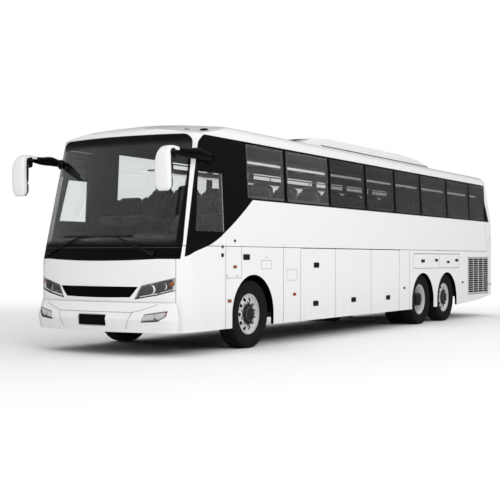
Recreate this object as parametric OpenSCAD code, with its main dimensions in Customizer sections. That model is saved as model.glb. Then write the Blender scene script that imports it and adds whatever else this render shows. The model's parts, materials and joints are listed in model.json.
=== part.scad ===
// Three-axle touring coach with high floor, through luggage bays and rear engine.
// X runs forward, Y to the driver's side, Z up. The ground is at zero, midway along the length.

/* [Overall] */
// Length of the body from bumper to tail
body_len = 12950; // [11000:10:14000]
// Width of the body at the belt
body_w = 2590; // [2300:10:2600]
// Height of the roof skin above the ground
roof_z = 3250; // [3000:10:3800]
// Height of the skirt's lower edge
skirt_z = 325; // [250:5:450]
// Reach of the mirror heads ahead of the bumper
mirror_reach = 150; // [100:5:400]

/* [Running gear] */
// Front axle behind the bumper
front_overhang = 2130; // [1800:10:2800]
// Front axle to drive axle, as a share of the body's length
wheelbase_share = 0.5035; // [0.46:0.0005:0.54]
// Drive axle to tag axle
tag_gap = 1335; // [1200:5:1500]
// Outer radius of a tyre
tyre_r = 500; // [460:1:540]
// Section width of a tyre
tyre_w = 290; // [250:5:330]
// Radius of the wheel disc at the bead
rim_r = 300; // [270:1:310]
// Outer face of the tyres inside the body's side
wheel_in = 43; // [20:1:90]
// Space between twin tyres
twin_gap = 44; // [30:1:80]
// King-pin axis inside the body's side
king_in = 350; // [300:1:450]
// Radius of the openings over the front wheels
front_arch_r = 580; // [560:1:650]
// Radius of the openings over the rear wheels
rear_arch_r = 566; // [540:1:640]
// Height of the rear openings' centres
rear_arch_z = 465; // [420:1:520]
// Diameter of the axle tubes
axle_d = 130; // [90:5:180]

/* [Body lines] */
// Height of the belt groove
belt_z = 1490; // [1350:5:1700]
// Lower edge of the window band
band_z0 = 2183; // [2000:1:2400]
// Upper edge of the window band
band_z1 = 3023; // [2800:1:3300]
// Height where the sides start to lean in
lean_z = 1600; // [1400:5:1900]
// Lean of each side up to the roof edge
tumble = 73; // [30:1:150]
// Radius of the roof shoulders
shoulder_r = 180; // [120:5:350]
// Rise of the roof's crown
crown_rise = 28; // [10:1:80]
// Thickness of walls and roof
wall_t = 60; // [40:1:90]
// Thickness of flaps and skirts
skin_t = 42; // [25:1:60]
// Width of the pillar between windscreen and doorway
pillar_w = 90; // [60:5:160]
// Space between panels
panel_gap = 8; // [6:0.5:14]
// Thickness of the panes
glass_t = 10; // [6:0.5:16]
// Slack between a seated piece and its seat
seat_slack = 0.3; // [0.2:0.05:0.4]
// Radial slack of turning pins and hubs
run_slack = 0.06; // [0.02:0.01:0.1]
// Radius of the hinge rods
rod_r = 8; // [5:0.5:10]

/* [Front] */
// Radius of the nose in plan
nose_r = 3600; // [2500:50:6000]
// Radius of the front corners in plan
corner_r = 350; // [200:10:500]
// Lean of the windscreen from upright
rake = 15; // [8:0.5:22]
// Lower edge of the black panel under the windscreen
sill_z = 1310; // [1200:5:1500]
// Lower edge of the windscreen glass
screen_z0 = 1462; // [1350:1:1700]
// Upper edge of the windscreen glass
screen_z1 = 3034; // [2800:1:3200]
// Depth of the windscreen's wrap round the corners
screen_wrap = 285; // [150:5:400]
// Top of the bumper
bumper_z = 724; // [600:2:800]
// Height of the bumper's foremost line
bumper_nose_z = 500; // [420:5:600]
// Step from the bumper's tip back to the front mask
bumper_step = 105; // [60:5:160]
// Radius of the roof's front edge
dome_r = 900; // [500:20:1400]
// Start of the roof's front edge behind the mask
dome_back = 1020; // [700:10:1400]
// Radius of the brow's crown over the windscreen
brow_r = 5400; // [4600:50:9000]
// Height of the brow's crown
brow_z = 3160; // [3150:1:3240]
// Place of that height behind the mask
brow_back = 625; // [500:5:800]
// Rise of the brow towards the rear
brow_tilt = 10; // [6:0.5:14]
// Seam between mask and sides, behind the bumper's tip
mask_depth = 340; // [250:5:500]

/* [Tail] */
// Radius of the tail corners in plan
tail_r = 150; // [80:5:300]
// Lean of the tail's top
tail_lean = 340; // [100:10:600]
// Height where the tail starts to lean
tail_lean_z = 2050; // [1600:10:2400]
// Radius of the roof's rear edge
tail_top_r = 220; // [100:10:400]
// Rise of the skirt at the tail
tail_rise = 165; // [60:5:300]
// Length of the rising skirt
tail_rise_len = 2350; // [1500:50:3000]
// Width of the tail on each side of the engine lid
lid_margin = 345; // [250:5:450]
// Lower edge of the engine lid
lid_z0 = 640; // [540:5:800]
// Upper edge of the engine lid
lid_z1 = 1700; // [1300:5:2000]

/* [Roof unit] */
// Half width of the roof fairing
unit_hw = 850; // [600:10:1000]
// Height of the fairing above the roof
unit_h = 200; // [120:5:300]
// Thickness of the fairing
unit_t = 30; // [15:1:50]

/* [Cabin] */
// Height of the passenger floor
floor_z = 1440; // [1300:5:1600]
// Thickness of the floors
floor_t = 50; // [30:1:80]
// Height of the driver's platform
driver_z = 960; // [850:5:1100]
// Height of the luggage floor
bay_z = 420; // [380:5:500]
// Pitch of the seat rows
seat_pitch = 790; // [700:5:900]
// Width of a double seat
seat_w = 900; // [800:5:960]
// Height of a seat back over the floor
seat_h = 1120; // [900:5:1250]
// Height of the luggage racks
rack_z = 2760; // [2600:5:2900]
// Diameter of the steering wheel
helm_d = 450; // [400:5:520]

/* [Hidden] */
half_w = body_w / 2;
wheelbase = wheelbase_share * body_len;
wheel_face_y = half_w - wheel_in;
king_y = half_w - king_in;
lid_w = body_w - 2 * lid_margin;
marker_d = 12;
lamp_out = marker_d + seat_slack;
overall = body_len + mirror_reach + lamp_out;
nose_x = overall / 2 - mirror_reach;
tail_x = lamp_out - overall / 2;
mask_x = nose_x - bumper_step;
front_x = nose_x - front_overhang;
drive_x = front_x - wheelbase;
tag_x = drive_x - tag_gap;
mask_seam_x = nose_x - mask_depth;
far = 2 * body_len;
sh_y = half_w - tumble - shoulder_r;
sh_z = roof_z - crown_rise - shoulder_r;
lean_a = atan(tumble / (sh_z - lean_z));
crown_a = atan(2 * crown_rise / sh_y);
hg = panel_gap / 2;

// Places along the body as shares: -1 nose, 0 front axle, 1 drive axle, 2 rear edge of the tag arch, 3 tail
arch_end_x = tag_x - rear_arch_r;
function at(s) = s < 0 ? front_x - s * front_overhang
    : s < 1 ? front_x - s * wheelbase
    : s < 2 ? drive_x - (s - 1) * (drive_x - arch_end_x)
    : arch_end_x - (s - 2) * (arch_end_x - tail_x);
// Seams below the belt
seam_shares = [-0.352, 0.135, 0.2194, 0.405, 0.623, 0.8177, 0.893];
// Service lids over the rear wheels
lid_shares = [0.9242, 1.472, 2.061];
// Louvred radiator door
louvre_shares = [2.292, 2.868];
// Window pillars of the band
pillar_shares = [-0.0686, 0.158, 0.3865, 0.603, 0.8006, 0.998, 1.756, 2.379, 2.8165];
// Doorway ahead of the right front wheel
door_shares = [-0.312, -0.71];
// Driver's window
driver_shares = [-0.3735, -0.698];
// Roof fairing
unit_span_shares = [1.782, 0.35];

function seam(i) = at(seam_shares[i]);

function arc(c, r, a0, a1, n) =
    [for (i = [0 : n]) c + r * [cos(a0 + (a1 - a0) * i / n), sin(a0 + (a1 - a0) * i / n)]];
function flip(p) = [for (i = [len(p) - 1 : -1 : 0]) if (p[i][1] > 0) [p[i][0], -p[i][1]]];
function flip_u(p) = [for (i = [len(p) - 1 : -1 : 0]) if (p[i][0] > 0) [-p[i][0], p[i][1]]];

// Cross-section, set in by d
function cross_half(d) = concat(
    [[half_w - d, 0], [half_w - d, lean_z]],
    arc([sh_y, sh_z], shoulder_r - d, lean_a, 90 - crown_a, 7),
    [[sh_y / 2, roof_z - crown_rise / 4 - d], [0, roof_z - d]]);
function cross_pts(d) = concat(cross_half(d), flip_u(cross_half(d)));

// Plan with a rounded nose, set in by d
nose_a = asin((half_w - corner_r) / (nose_r - corner_r));
corner_back = nose_r - (nose_r - corner_r) * cos(nose_a);
function plan_half(front, back, d) = concat(
    arc([front - nose_r, 0], nose_r - d, 0, nose_a, 5),
    arc([front - corner_back, half_w - corner_r], corner_r - d, nose_a + 12, 90, 6),
    arc([back + tail_r, half_w - tail_r], tail_r - d, 90, 180, 4));
function plan_pts(front, back, d) = concat(plan_half(front, back, d), flip(plan_half(front, back, d)));

// Side profile, set in by d
dome_c = [mask_x - dome_back, roof_z - dome_r];
tail_c = [tail_x + tail_lean + tail_top_r, roof_z - tail_top_r];
tail_a = atan(tail_lean / (roof_z - tail_top_r - tail_lean_z));
rise_shares = [[0, 1], [0.19, 0.72], [0.5, 0.33], [1, 0]];
function under_pts(d) = d > 0
    ? [[tail_x + d, 0], [nose_x + d, 0]]
    : concat([for (s = rise_shares) [tail_x + s[0] * tail_rise_len, skirt_z + s[1] * tail_rise]],
             [[nose_x, skirt_z]]);
function side_pts(d) = concat(
    under_pts(d),
    [[nose_x, lean_z], [nose_x, dome_c[1] + dome_r / 2]],
    arc(dome_c, dome_r - d, 35, 90, 8),
    arc(tail_c, tail_top_r - d, 90, 180 - tail_a, 4),
    [[tail_x + d, tail_lean_z]]);

module along_x(x0, x1) {
    translate([x0, 0, 0])
        rotate([90, 0, 90])
            linear_extrude(x1 - x0) children();
}
module along_y(y0, y1) {
    translate([0, y1, 0])
        rotate([90, 0, 0])
            linear_extrude(y1 - y0) children();
}
module box(x0, x1, y0, y1, z0, z1) {
    translate([x0, y0, z0]) cube([x1 - x0, y1 - y0, z1 - z0]);
}
// Upright nose prism leaned back by a from height z
module nose_prism(front, z, a, d) {
    translate([front, 0, z])
        rotate([0, -a, 0])
            translate([0, 0, -far])
                linear_extrude(2 * far)
                    polygon(plan_pts(0, -far, d));
}
// Whole outer form, set in by d
module form(d) {
    intersection() {
        along_x(tail_x, nose_x) polygon(cross_pts(d));
        linear_extrude(roof_z) polygon(plan_pts(mask_x, tail_x, d));
        nose_prism(mask_x, sill_z, rake, d);
        along_y(-body_w, body_w) polygon(side_pts(d));
    }
}
module wall(t) {
    difference() {
        form(0);
        form(t);
    }
}
// Space in front of the windscreen's rear edge
module ahead(wrap) {
    translate([mask_x - wrap, -body_w, sill_z])
        rotate([0, -rake, 0])
            translate([0, 0, -roof_z]) cube([body_len, 2 * body_w, 2 * roof_z]);
}
module mirrored(right) {
    if (right) mirror([0, 1, 0]) children();
    else children();
}
module disc_y(x, z, r, y0, y1) {
    translate([x, y1, z]) rotate([90, 0, 0]) cylinder(r = r, h = y1 - y0, $fn = 64);
}

// Upper sides, roof and tail

cant_z = band_z1 + skin_t / 4;
tail_cut_x = at(pillar_shares[8]);
band_in = glass_t + seat_slack;

module windows_cut() {
    for (i = [0 : len(pillar_shares) - 2])
        box(at(pillar_shares[i + 1]) + wall_t, at(pillar_shares[i]) - wall_t, 0, body_w,
            band_z0 + wall_t, band_z1 - wall_t);
}
driver_sill = 200;
driver_drop = 510;
driver_z0 = belt_z + driver_sill;
driver_z1 = band_z1 - driver_drop;
module driver_cut(grow) {
    along_y(0, body_w)
        polygon([
            [at(driver_shares[0]) - grow, driver_z0 - grow],
            [at(driver_shares[1]) + grow, driver_z0 - grow],
            [at(driver_shares[1]) + grow - tan(rake) * (driver_z1 - driver_z0) / 2, driver_z1 + grow],
            [at(driver_shares[0]) - grow, driver_z1 + grow]]);
}
door_x0 = at(door_shares[0]);
door_x1 = at(door_shares[1]);
door_z0 = skirt_z + skin_t;
door_drop = 100;
door_z1 = band_z1 - door_drop;
door_axis_x = door_x1 - hg - skin_t / 2;
door_axis_y = half_w - skin_t / 2;
door_rod_h = lean_z - door_z0 - wall_t;

// Doorway, with its front edge leaned like the windscreen
module door_zone(grow) {
    difference() {
        box(door_x0 - grow, door_x1 + grow, -body_w, 0, door_z0 - (grow > 0 ? skirt_z : 0), door_z1 + grow);
        ahead(screen_wrap + pillar_w - grow);
    }
}
module upper_side() {
    difference() {
        intersection() {
            wall(wall_t);
            box(tail_cut_x + hg, nose_x, 0, body_w, belt_z + hg, cant_z);
        }
        ahead(screen_wrap);
        windows_cut();
        // Rebate that takes the bonded panes
        difference() {
            box(tail_cut_x - far, at(pillar_shares[0]), 0, body_w, band_z0, band_z1);
            form(band_in);
        }
    }
}
module side_left() color("white") {
    difference() {
        upper_side();
        driver_cut(0);
    }
}
module side_right() color("white") {
    difference() {
        mirror([0, 1, 0]) upper_side();
        door_zone(hg);
    }
}
// Brow over the windscreen: a wide crown that rises rearwards, set in by d
module brow(d) {
    translate([mask_x - brow_back, 0, brow_z])
        rotate([0, brow_tilt - 90, 0])
            translate([-brow_r, 0, -far]) cylinder(r = brow_r - d, h = 2 * far, $fn = 360);
}
module roof_form(d) {
    intersection() {
        form(d);
        brow(d);
    }
}
module roof() color("white") {
    difference() {
        intersection() {
            difference() {
                roof_form(0);
                roof_form(wall_t);
            }
            box(tail_x, nose_x, -body_w, body_w, cant_z + seat_slack, roof_z);
        }
        difference() {
            ahead(screen_wrap);
            box(tail_x, nose_x, -body_w, body_w, screen_z1 + seat_slack, roof_z);
        }
        box(tail_x - wall_t, tail_cut_x, -body_w, body_w, 0, roof_z - tail_top_r / 2);
    }
}
module rear_cap() color("white") {
    difference() {
        intersection() {
            wall(wall_t);
            box(tail_x, tail_cut_x - hg, -body_w, body_w, belt_z + hg, roof_z - tail_top_r / 2 - seat_slack);
        }
        box(tail_x - wall_t, tail_x + tail_r, -lid_w / 2 - panel_gap, lid_w / 2 + panel_gap,
            0, lid_z1 + panel_gap);
    }
    // Bumper under the engine lid
    intersection() {
        wall(wall_t);
        box(tail_x, tail_x + tail_r, -lid_w / 2 - panel_gap + seat_slack, lid_w / 2 + panel_gap - seat_slack,
            0, lid_z0 - panel_gap);
    }
}

// Roof unit
unit_x0 = at(unit_span_shares[0]);
unit_x1 = at(unit_span_shares[1]);
unit_shares = [[0, 0], [0.02, 0.35], [0.1, 0.8], [0.25, 1], [0.8, 1], [0.93, 0.7], [0.99, 0.25], [1, 0]];
module unit_form(d) {
    intersection() {
        along_y(-unit_hw + d, unit_hw - d)
            polygon(concat(
                [for (s = unit_shares) [unit_x0 + d + s[0] * (unit_x1 - unit_x0 - 2 * d),
                                        roof_z + s[1] * (unit_h - d)]],
                [[unit_x1 - d, roof_z - wall_t], [unit_x0 + d, roof_z - wall_t]]));
        along_x(unit_x0, unit_x1)
            polygon([[-unit_hw + d, roof_z - wall_t], [unit_hw - d, roof_z - wall_t],
                     [unit_hw - d, roof_z], [unit_hw - unit_h / 2 - d, roof_z + unit_h - d],
                     [-unit_hw + unit_h / 2 + d, roof_z + unit_h - d], [-unit_hw + d, roof_z]]);
    }
}
module roof_unit() color("white") {
    difference() {
        unit_form(0);
        unit_form(unit_t);
        along_x(tail_x, nose_x) polygon(cross_pts(-seat_slack));
    }
}

// Lower sides

module arch_cut(x, z, r) {
    disc_y(x, z, r, 0, body_w);
    box(x - r, x + r, 0, body_w, 0, z);
}
lid_drop = 70;
lid_h = 294;
lid_top_z = belt_z - lid_drop;
lid_low_z = lid_top_z - lid_h;
louvre_z0 = skirt_z + 2.8 * lid_drop;
louvre_z1 = belt_z - 2 * lid_drop;
louvre_x0 = at(louvre_shares[1]);
louvre_x1 = at(louvre_shares[0]);
// Zone of the windscreen and of the panel below it
module screen_zone() {
    intersection() {
        ahead(screen_wrap);
        box(tail_x, nose_x, -body_w, body_w, sill_z, roof_z);
    }
}
module lower_part(x0, x1) {
    difference() {
        intersection() {
            wall(skin_t);
            box(x0 + hg, x1 - hg, 0, body_w, 0, belt_z - hg);
        }
        screen_zone();
    }
}
module lower_rear() {
    difference() {
        lower_part(tail_x - skin_t, seam(6));
        arch_cut(drive_x, rear_arch_z, rear_arch_r);
        arch_cut(tag_x, rear_arch_z, rear_arch_r);
        box(tail_x - wall_t, tail_x + tail_r + hg, 0, lid_w / 2 + panel_gap, 0, belt_z);
    }
}
module lower_side(x_front) {
    difference() {
        lower_part(seam(1), x_front);
        arch_cut(front_x, tyre_r, front_arch_r);
    }
    lower_part(seam(2), seam(1));
    lower_part(seam(6), seam(5));
}
module skirt_left() color("white") {
    lower_side(seam(0));
    lower_part(seam(0), mask_seam_x);
    difference() {
        lower_rear();
        box(at(lid_shares[2]) - hg, at(lid_shares[0]) + hg, 0, body_w, lid_low_z - hg, lid_top_z + hg);
        box(louvre_x0 - hg, louvre_x1 + hg, 0, body_w, louvre_z0 - hg, louvre_z1 + hg);
    }
}
module skirt_right() color("white") {
    mirror([0, 1, 0]) {
        lower_side(door_x0);
        lower_part(door_x1, mask_seam_x);
        lower_rear();
    }
}
// Leaf of a flap: half-round at its hinge, hung on a rod
hinge_r = skin_t / 2;
flap_axis_z = belt_z - panel_gap - hinge_r;
lid_axis_z = lid_top_z - hg - hinge_r;
function leaf_pts(low, axis) = concat(
    [[-hinge_r, low], [hinge_r, low]],
    arc([0, axis], hinge_r, 0, 180, 10));
module leaf(x0, x1, low, axis) {
    difference() {
        translate([0, half_w - hinge_r, 0])
            along_x(x0, x1) polygon(leaf_pts(low, axis));
        rod_x(x0 - panel_gap, x1 + panel_gap, axis, rod_r + run_slack);
    }
}
module rod_x(x0, x1, axis, r) {
    translate([x0, half_w - hinge_r, axis])
        rotate([0, 90, 0]) cylinder(r = r, h = x1 - x0, $fn = 32);
}
module bay_flap(i) {
    leaf(seam(i + 1) + hg, seam(i) - hg, skirt_z, flap_axis_z);
}
module flap_l1() color("white") bay_flap(2);
module flap_l2() color("white") bay_flap(3);
module flap_l3() color("white") bay_flap(4);
module flap_r1() color("white") mirror([0, 1, 0]) bay_flap(2);
module flap_r2() color("white") mirror([0, 1, 0]) bay_flap(3);
module flap_r3() color("white") mirror([0, 1, 0]) bay_flap(4);
module service_lid(i) {
    leaf(at(lid_shares[i + 1]) + hg, at(lid_shares[i]) - hg, lid_low_z + hg, lid_axis_z);
}
module lid_l1() color("white") service_lid(0);
module lid_l2() color("white") service_lid(1);

louvre_axis_x = louvre_x1 - hg - hinge_r;
louvre_cols = 4;
louvre_rows = 12;
module louvre_door() color("silver") {
    w = louvre_x1 - louvre_x0 - 2 * hg - 1.5 * skin_t;
    h = louvre_z1 - louvre_z0 - 2 * hg;
    pitch_x = w / louvre_cols;
    pitch_z = (h - skin_t) / louvre_rows;
    difference() {
        translate([0, half_w - hinge_r, louvre_z0 + hg])
            linear_extrude(h)
                polygon(concat([[louvre_x0 + hg, hinge_r], [louvre_x0 + hg, -hinge_r]],
                               arc([louvre_axis_x, 0], hinge_r, -90, 90, 10)));
        translate([louvre_axis_x, half_w - hinge_r, 0]) cylinder(r = rod_r + run_slack, h = belt_z, $fn = 32);
        for (c = [0 : louvre_cols - 1])
            for (r = [0 : louvre_rows - 1])
                translate([louvre_x0 + hg + c * pitch_x + (c + 1) * skin_t / 5, half_w - 2 * skin_t,
                           louvre_z0 + hg + skin_t / 2 + r * pitch_z + pitch_z / 4])
                    cube([pitch_x - skin_t / 2, 3 * skin_t, pitch_z / 2]);
    }
}
engine_axis_z = lid_z1 - hinge_r;
module engine_lid() color("white") {
    translate([tail_x + hinge_r, 0, 0])
        difference() {
            along_y(-lid_w / 2, lid_w / 2) polygon(leaf_pts(lid_z0, engine_axis_z));
            translate([0, lid_w, engine_axis_z])
                rotate([90, 0, 0]) cylinder(r = rod_r + run_slack, h = 2 * lid_w, $fn = 32);
        }
}
// Rods on which the flaps, lids and doors turn
module hinge_rods() color("silver") {
    for (right = [false, true])
        mirrored(right)
            rod_x(seam(5) - hg + seat_slack, seam(2) + hg - seat_slack, flap_axis_z, rod_r);
    rod_x(at(lid_shares[2]) - hg + seat_slack, at(lid_shares[0]) + hg - seat_slack, lid_axis_z, rod_r);
    translate([louvre_axis_x, half_w - hinge_r, louvre_z0 - hg + seat_slack])
        cylinder(r = rod_r, h = louvre_z1 - louvre_z0 + 2 * hg - 2 * seat_slack, $fn = 32);
    translate([tail_x + hinge_r, lid_w / 2 + panel_gap - seat_slack, engine_axis_z])
        rotate([90, 0, 0]) cylinder(r = rod_r, h = lid_w + 2 * panel_gap - 2 * seat_slack, $fn = 32);
    translate([door_axis_x, -door_axis_y, door_z0 - panel_gap + seat_slack])
        cylinder(r = rod_r, h = door_rod_h, $fn = 32);
}

// Front

// Outlines of the front's openings as shares of the half width and of the roof height
lamp_shares = [[0.48, 0.235], [0.555, 0.2925], [0.965, 0.331], [0.955, 0.30], [0.925, 0.274], [0.735, 0.253]];
grille_shares = [[0.525, 0.288], [0.47, 0.2615], [0.43, 0.244], [0.2, 0.242], [0, 0.241]];
fog_shares = [[0.60, 0.142], [0.63, 0.176], [0.865, 0.191], [0.86, 0.168], [0.79, 0.148]];
function scaled(t) = [for (s = t) [s[0] * half_w, s[1] * roof_z]];

module lamp_prism(t, x0) {
    for (right = [false, true])
        mirrored(right) along_x(x0, nose_x + mirror_reach) polygon(scaled(t));
}
module grille_prism(x0) {
    along_x(x0, nose_x + mirror_reach)
        polygon(concat(scaled(grille_shares), flip_u(scaled(grille_shares))));
}
module front_mask() color("white") {
    difference() {
        intersection() {
            wall(wall_t);
            box(mask_seam_x + hg, nose_x, -body_w, body_w, bumper_z + seat_slack, sill_z);
        }
        lamp_prism(lamp_shares, mask_seam_x - wall_t);
        grille_prism(mask_seam_x);
    }
}
module bumper_form(d) {
    intersection() {
        linear_extrude(roof_z) polygon(plan_pts(nose_x, tail_x, d));
        nose_prism(nose_x, bumper_nose_z, 20, d);
        nose_prism(nose_x, bumper_nose_z, -15, d);
        along_x(tail_x, nose_x) polygon(cross_pts(d));
    }
}
plate_w = 460;
plate_h = 140;
plate_rise = 159;
plate_z = skirt_z + plate_rise;
plate_t = 12;
plate_x = nose_x - 2 * wall_t / 3;
module bumper() color("white") {
    difference() {
        intersection() {
            difference() {
                bumper_form(0);
                bumper_form(wall_t);
            }
            box(mask_seam_x + hg, nose_x, -body_w, body_w, skirt_z, bumper_z);
        }
        lamp_prism(fog_shares, mask_seam_x - wall_t);
        box(plate_x, nose_x + plate_t, -plate_w / 2 - plate_t, plate_w / 2 + plate_t,
            plate_z - plate_h / 2 - plate_t, plate_z + plate_h / 2 + plate_t);
    }
}
grille_foot_share = 0.241;
grille_high_share = 0.045;
module grille_bars() {
    for (s = [0.15, 0.5, 0.85])
        box(mask_seam_x, nose_x, -body_w, body_w,
            roof_z * (grille_foot_share + s * grille_high_share),
            roof_z * (grille_foot_share + s * grille_high_share) + plate_t);
}
module front_trim() color("black") {
    // Grille: backing and bars
    intersection() {
        difference() {
            form(plate_t);
            form(wall_t);
        }
        grille_prism(mask_seam_x);
        union() {
            grille_bars();
            difference() {
                form(3 * plate_t);
                form(wall_t);
            }
        }
    }
    // Panel below the windscreen
    intersection() {
        wall(wall_t / 2);
        ahead(screen_wrap - seat_slack);
        box(tail_x, nose_x, -body_w, body_w, sill_z + seat_slack, screen_z0 - seat_slack);
    }
    // Blank plate
    box(plate_x + seat_slack, plate_x + seat_slack + plate_t, -plate_w / 2, plate_w / 2,
        plate_z - plate_h / 2, plate_z + plate_h / 2);
}
module lamp_bowl(t, x0) {
    intersection() {
        difference() {
            form(wall_t / 2);
            form(wall_t * 1.5);
        }
        lamp_prism(t, x0);
    }
}
beam_r = 60;
beam_shares = [[0.655, 0.277], [0.79, 0.29]];
module headlamps() color("silver") {
    // Projectors that stand on the bowls
    for (right = [false, true])
        mirrored(right)
            for (s = beam_shares)
                intersection() {
                    translate([mask_seam_x + hg, s[0] * half_w, s[1] * roof_z])
                        rotate([0, 90, 0]) cylinder(r = beam_r, h = front_overhang, $fn = 32);
                    difference() {
                        form(plate_t / 2);
                        form(wall_t);
                    }
                }
    lamp_bowl(lamp_shares, mask_seam_x + hg);
    intersection() {
        difference() {
            bumper_form(wall_t / 2);
            bumper_form(wall_t);
        }
        lamp_prism(fog_shares, mask_seam_x + hg);
    }
}
module windscreen() color("lightblue") {
    intersection() {
        wall(glass_t);
        ahead(screen_wrap - seat_slack);
        box(tail_x, nose_x, -body_w, body_w, screen_z0, screen_z1);
    }
}

// Glass of the sides
module band_panes() {
    last = len(pillar_shares) - 2;
    intersection() {
        wall(glass_t);
        union()
            for (i = [0 : last])
                box(at(pillar_shares[i + 1]) + (i == last ? hg + seat_slack : hg / 2),
                    at(pillar_shares[i]) - (i == 0 ? seat_slack : hg / 2), 0, body_w,
                    band_z0 + seat_slack, band_z1 - seat_slack);
    }
}
module side_glass() color("lightblue") {
    band_panes();
    mirror([0, 1, 0]) band_panes();
    intersection() {
        wall(glass_t);
        driver_cut(-seat_slack);
    }
}

// Entry door: leaf and pane
door_rim = 110;
door_rail_z = belt_z + 1.55 * door_rim;
module door_hole(grow) {
    intersection() {
        door_panes(grow);
        door_zone(-hg - door_rim + grow);
    }
}
module door_panes(grow) {
    box(door_x0 + hg + door_rim - grow, door_x1 - hg - door_rim + grow, -body_w, 0,
        door_z0 + 2 * door_rim - grow, door_rail_z - door_rim / 2 + grow);
    box(door_x0 + hg + door_rim - grow, door_x1 - hg - door_rim + grow, -body_w, 0,
        door_rail_z + door_rim / 2 - grow, door_z1 - hg - door_rim + grow);
}
module entry_door() color("white") {
    difference() {
        intersection() {
            wall(skin_t);
            door_zone(-hg);
        }
        door_hole(0);
        // Hinge edge: rounded about its rod up to the lean of the side
        difference() {
            box(door_axis_x, door_x1, -body_w, 0, 0, door_rod_h + door_z0 + rod_r);
            translate([door_axis_x, -door_axis_y, 0]) cylinder(r = hinge_r, h = belt_z + lean_z, $fn = 48);
        }
        translate([door_axis_x, -door_axis_y, 0])
            cylinder(r = rod_r + run_slack, h = door_rod_h + door_z0 + rod_r, $fn = 32);
    }
}
module door_glass() color("lightblue") {
    intersection() {
        wall(glass_t);
        door_hole(-seat_slack);
        door_zone(-hg - door_rim - seat_slack);
    }
}

// Mirrors: bent arms from the roof pillars and hanging heads
mirror_h = 600;
mirror_drop = 244;
mirror_z1 = screen_z1 - mirror_drop;
mirror_z0 = mirror_z1 - mirror_h;
mirror_in = 10;
mirror_y = half_w - mirror_in;
mirror_w = 240;
mirror_d = 140;
mirror_x = nose_x + mirror_reach - mirror_d;
arm_t = 62;
arm_left_share = -0.498;
arm_left_x = at(arm_left_share);
arm_foot_z = mirror_z1 - 2.1 * arm_t;
arm_right_x = mask_x - screen_wrap - pillar_w - tan(rake) * (arm_foot_z - sill_z) + 4 * panel_gap;
head_shares = [[-0.5, 0.08], [-0.36, 0], [0.36, 0], [0.5, 0.08], [0.5, 0.8], [0.38, 0.95], [0.2, 1],
               [-0.2, 1], [-0.38, 0.95], [-0.5, 0.8]];
module mirror_heads() color("white") {
    for (right = [false, true])
        mirrored(right)
            translate([0, mirror_y, mirror_z0])
                along_x(mirror_x, mirror_x + mirror_d)
                    polygon([for (s = head_shares) [s[0] * mirror_w, s[1] * (mirror_z1 - mirror_z0)]]);
}
// Side profile of an arm from root (0) to head (1), height in arm thicknesses below the head's top
arm_shares = [[0, 2.1], [0, 1.1], [0.45, 0.15], [0.75, 0], [1, 0.3], [1, 1.3], [0.75, 1.0], [0.45, 1.2]];
module mirror_arm(root) {
    difference() {
        union() {
            along_y(mirror_y - arm_t / 2, mirror_y + arm_t / 2)
                polygon([for (s = arm_shares)
                    [root + s[0] * (mirror_x - seat_slack - root), mirror_z1 - s[1] * arm_t]]);
            box(root, root + arm_t, mirror_y - 3 * arm_t, mirror_y,
                mirror_z1 - 2 * arm_t, mirror_z1 - 1.2 * arm_t);
        }
        form(-seat_slack);
    }
}
module mirror_arms() color("black") {
    mirror_arm(arm_left_x);
    mirror([0, 1, 0]) mirror_arm(arm_right_x);
}

// Lamps on the sides and tail
amber_shares = [[-0.245, 0.369], [-0.312, 0.2206], [0.852, 0.2314], [2.15, 0.2468], [2.922, 0.2228]];
marker_w = 60;
marker_h = 34;
module amber_lamps() color("orange") {
    for (right = [false, true])
        mirrored(right)
            for (s = amber_shares)
                if (!(right && s[0] <= door_shares[0]))
                    translate([at(s[0]) - marker_w / 2, half_w + seat_slack, s[1] * roof_z - marker_h / 2])
                        cube([marker_w, marker_d, marker_h]);
}
red_side_shares = [0.186, 0.233];
module red_lamps() color("red") {
    for (right = [false, true])
        mirrored(right) {
            translate([at(red_side_shares[0]) - marker_w / 2, half_w + seat_slack,
                       red_side_shares[1] * roof_z - marker_h / 2])
                cube([marker_w, marker_d, marker_h]);
            translate([tail_x - marker_d - seat_slack, lid_w / 2 + 2 * panel_gap, lid_z0 + skin_t])
                cube([marker_d, half_w - lid_w / 2 - tail_r - 3 * panel_gap, lid_z1 - lid_z0 - 2 * skin_t]);
        }
}

// Wipers: blade and arm outlines seen from the front, laid on the glass
wiper_w = 26;
blade_z = screen_z0 + 0.1 * (screen_z1 - screen_z0);
pivot_z = (sill_z + screen_z0) / 2;
// Shares of the half width: blade ends, pivot and the arm's grip on the blade
wiper_shares = [[-0.56, 0.0, -0.79, -0.26], [0.03, 0.43, 0.67, 0.23]];
module bar_between(a, b, w) {
    n = [a[1] - b[1], b[0] - a[0]] * w / 2 / norm(b - a);
    polygon([a - n, b - n, b + n, a + n]);
}
module wipers() color("black") {
    for (w = wiper_shares)
        intersection() {
            difference() {
                form(-3 * glass_t);
                form(-seat_slack);
            }
            along_x(front_x, nose_x + far)
                union() {
                    bar_between([w[0] * half_w, blade_z], [w[1] * half_w, blade_z], wiper_w);
                    bar_between([w[2] * half_w, pivot_z], [w[3] * half_w, blade_z], wiper_w);
                }
        }
}

// Floors and frame

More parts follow.
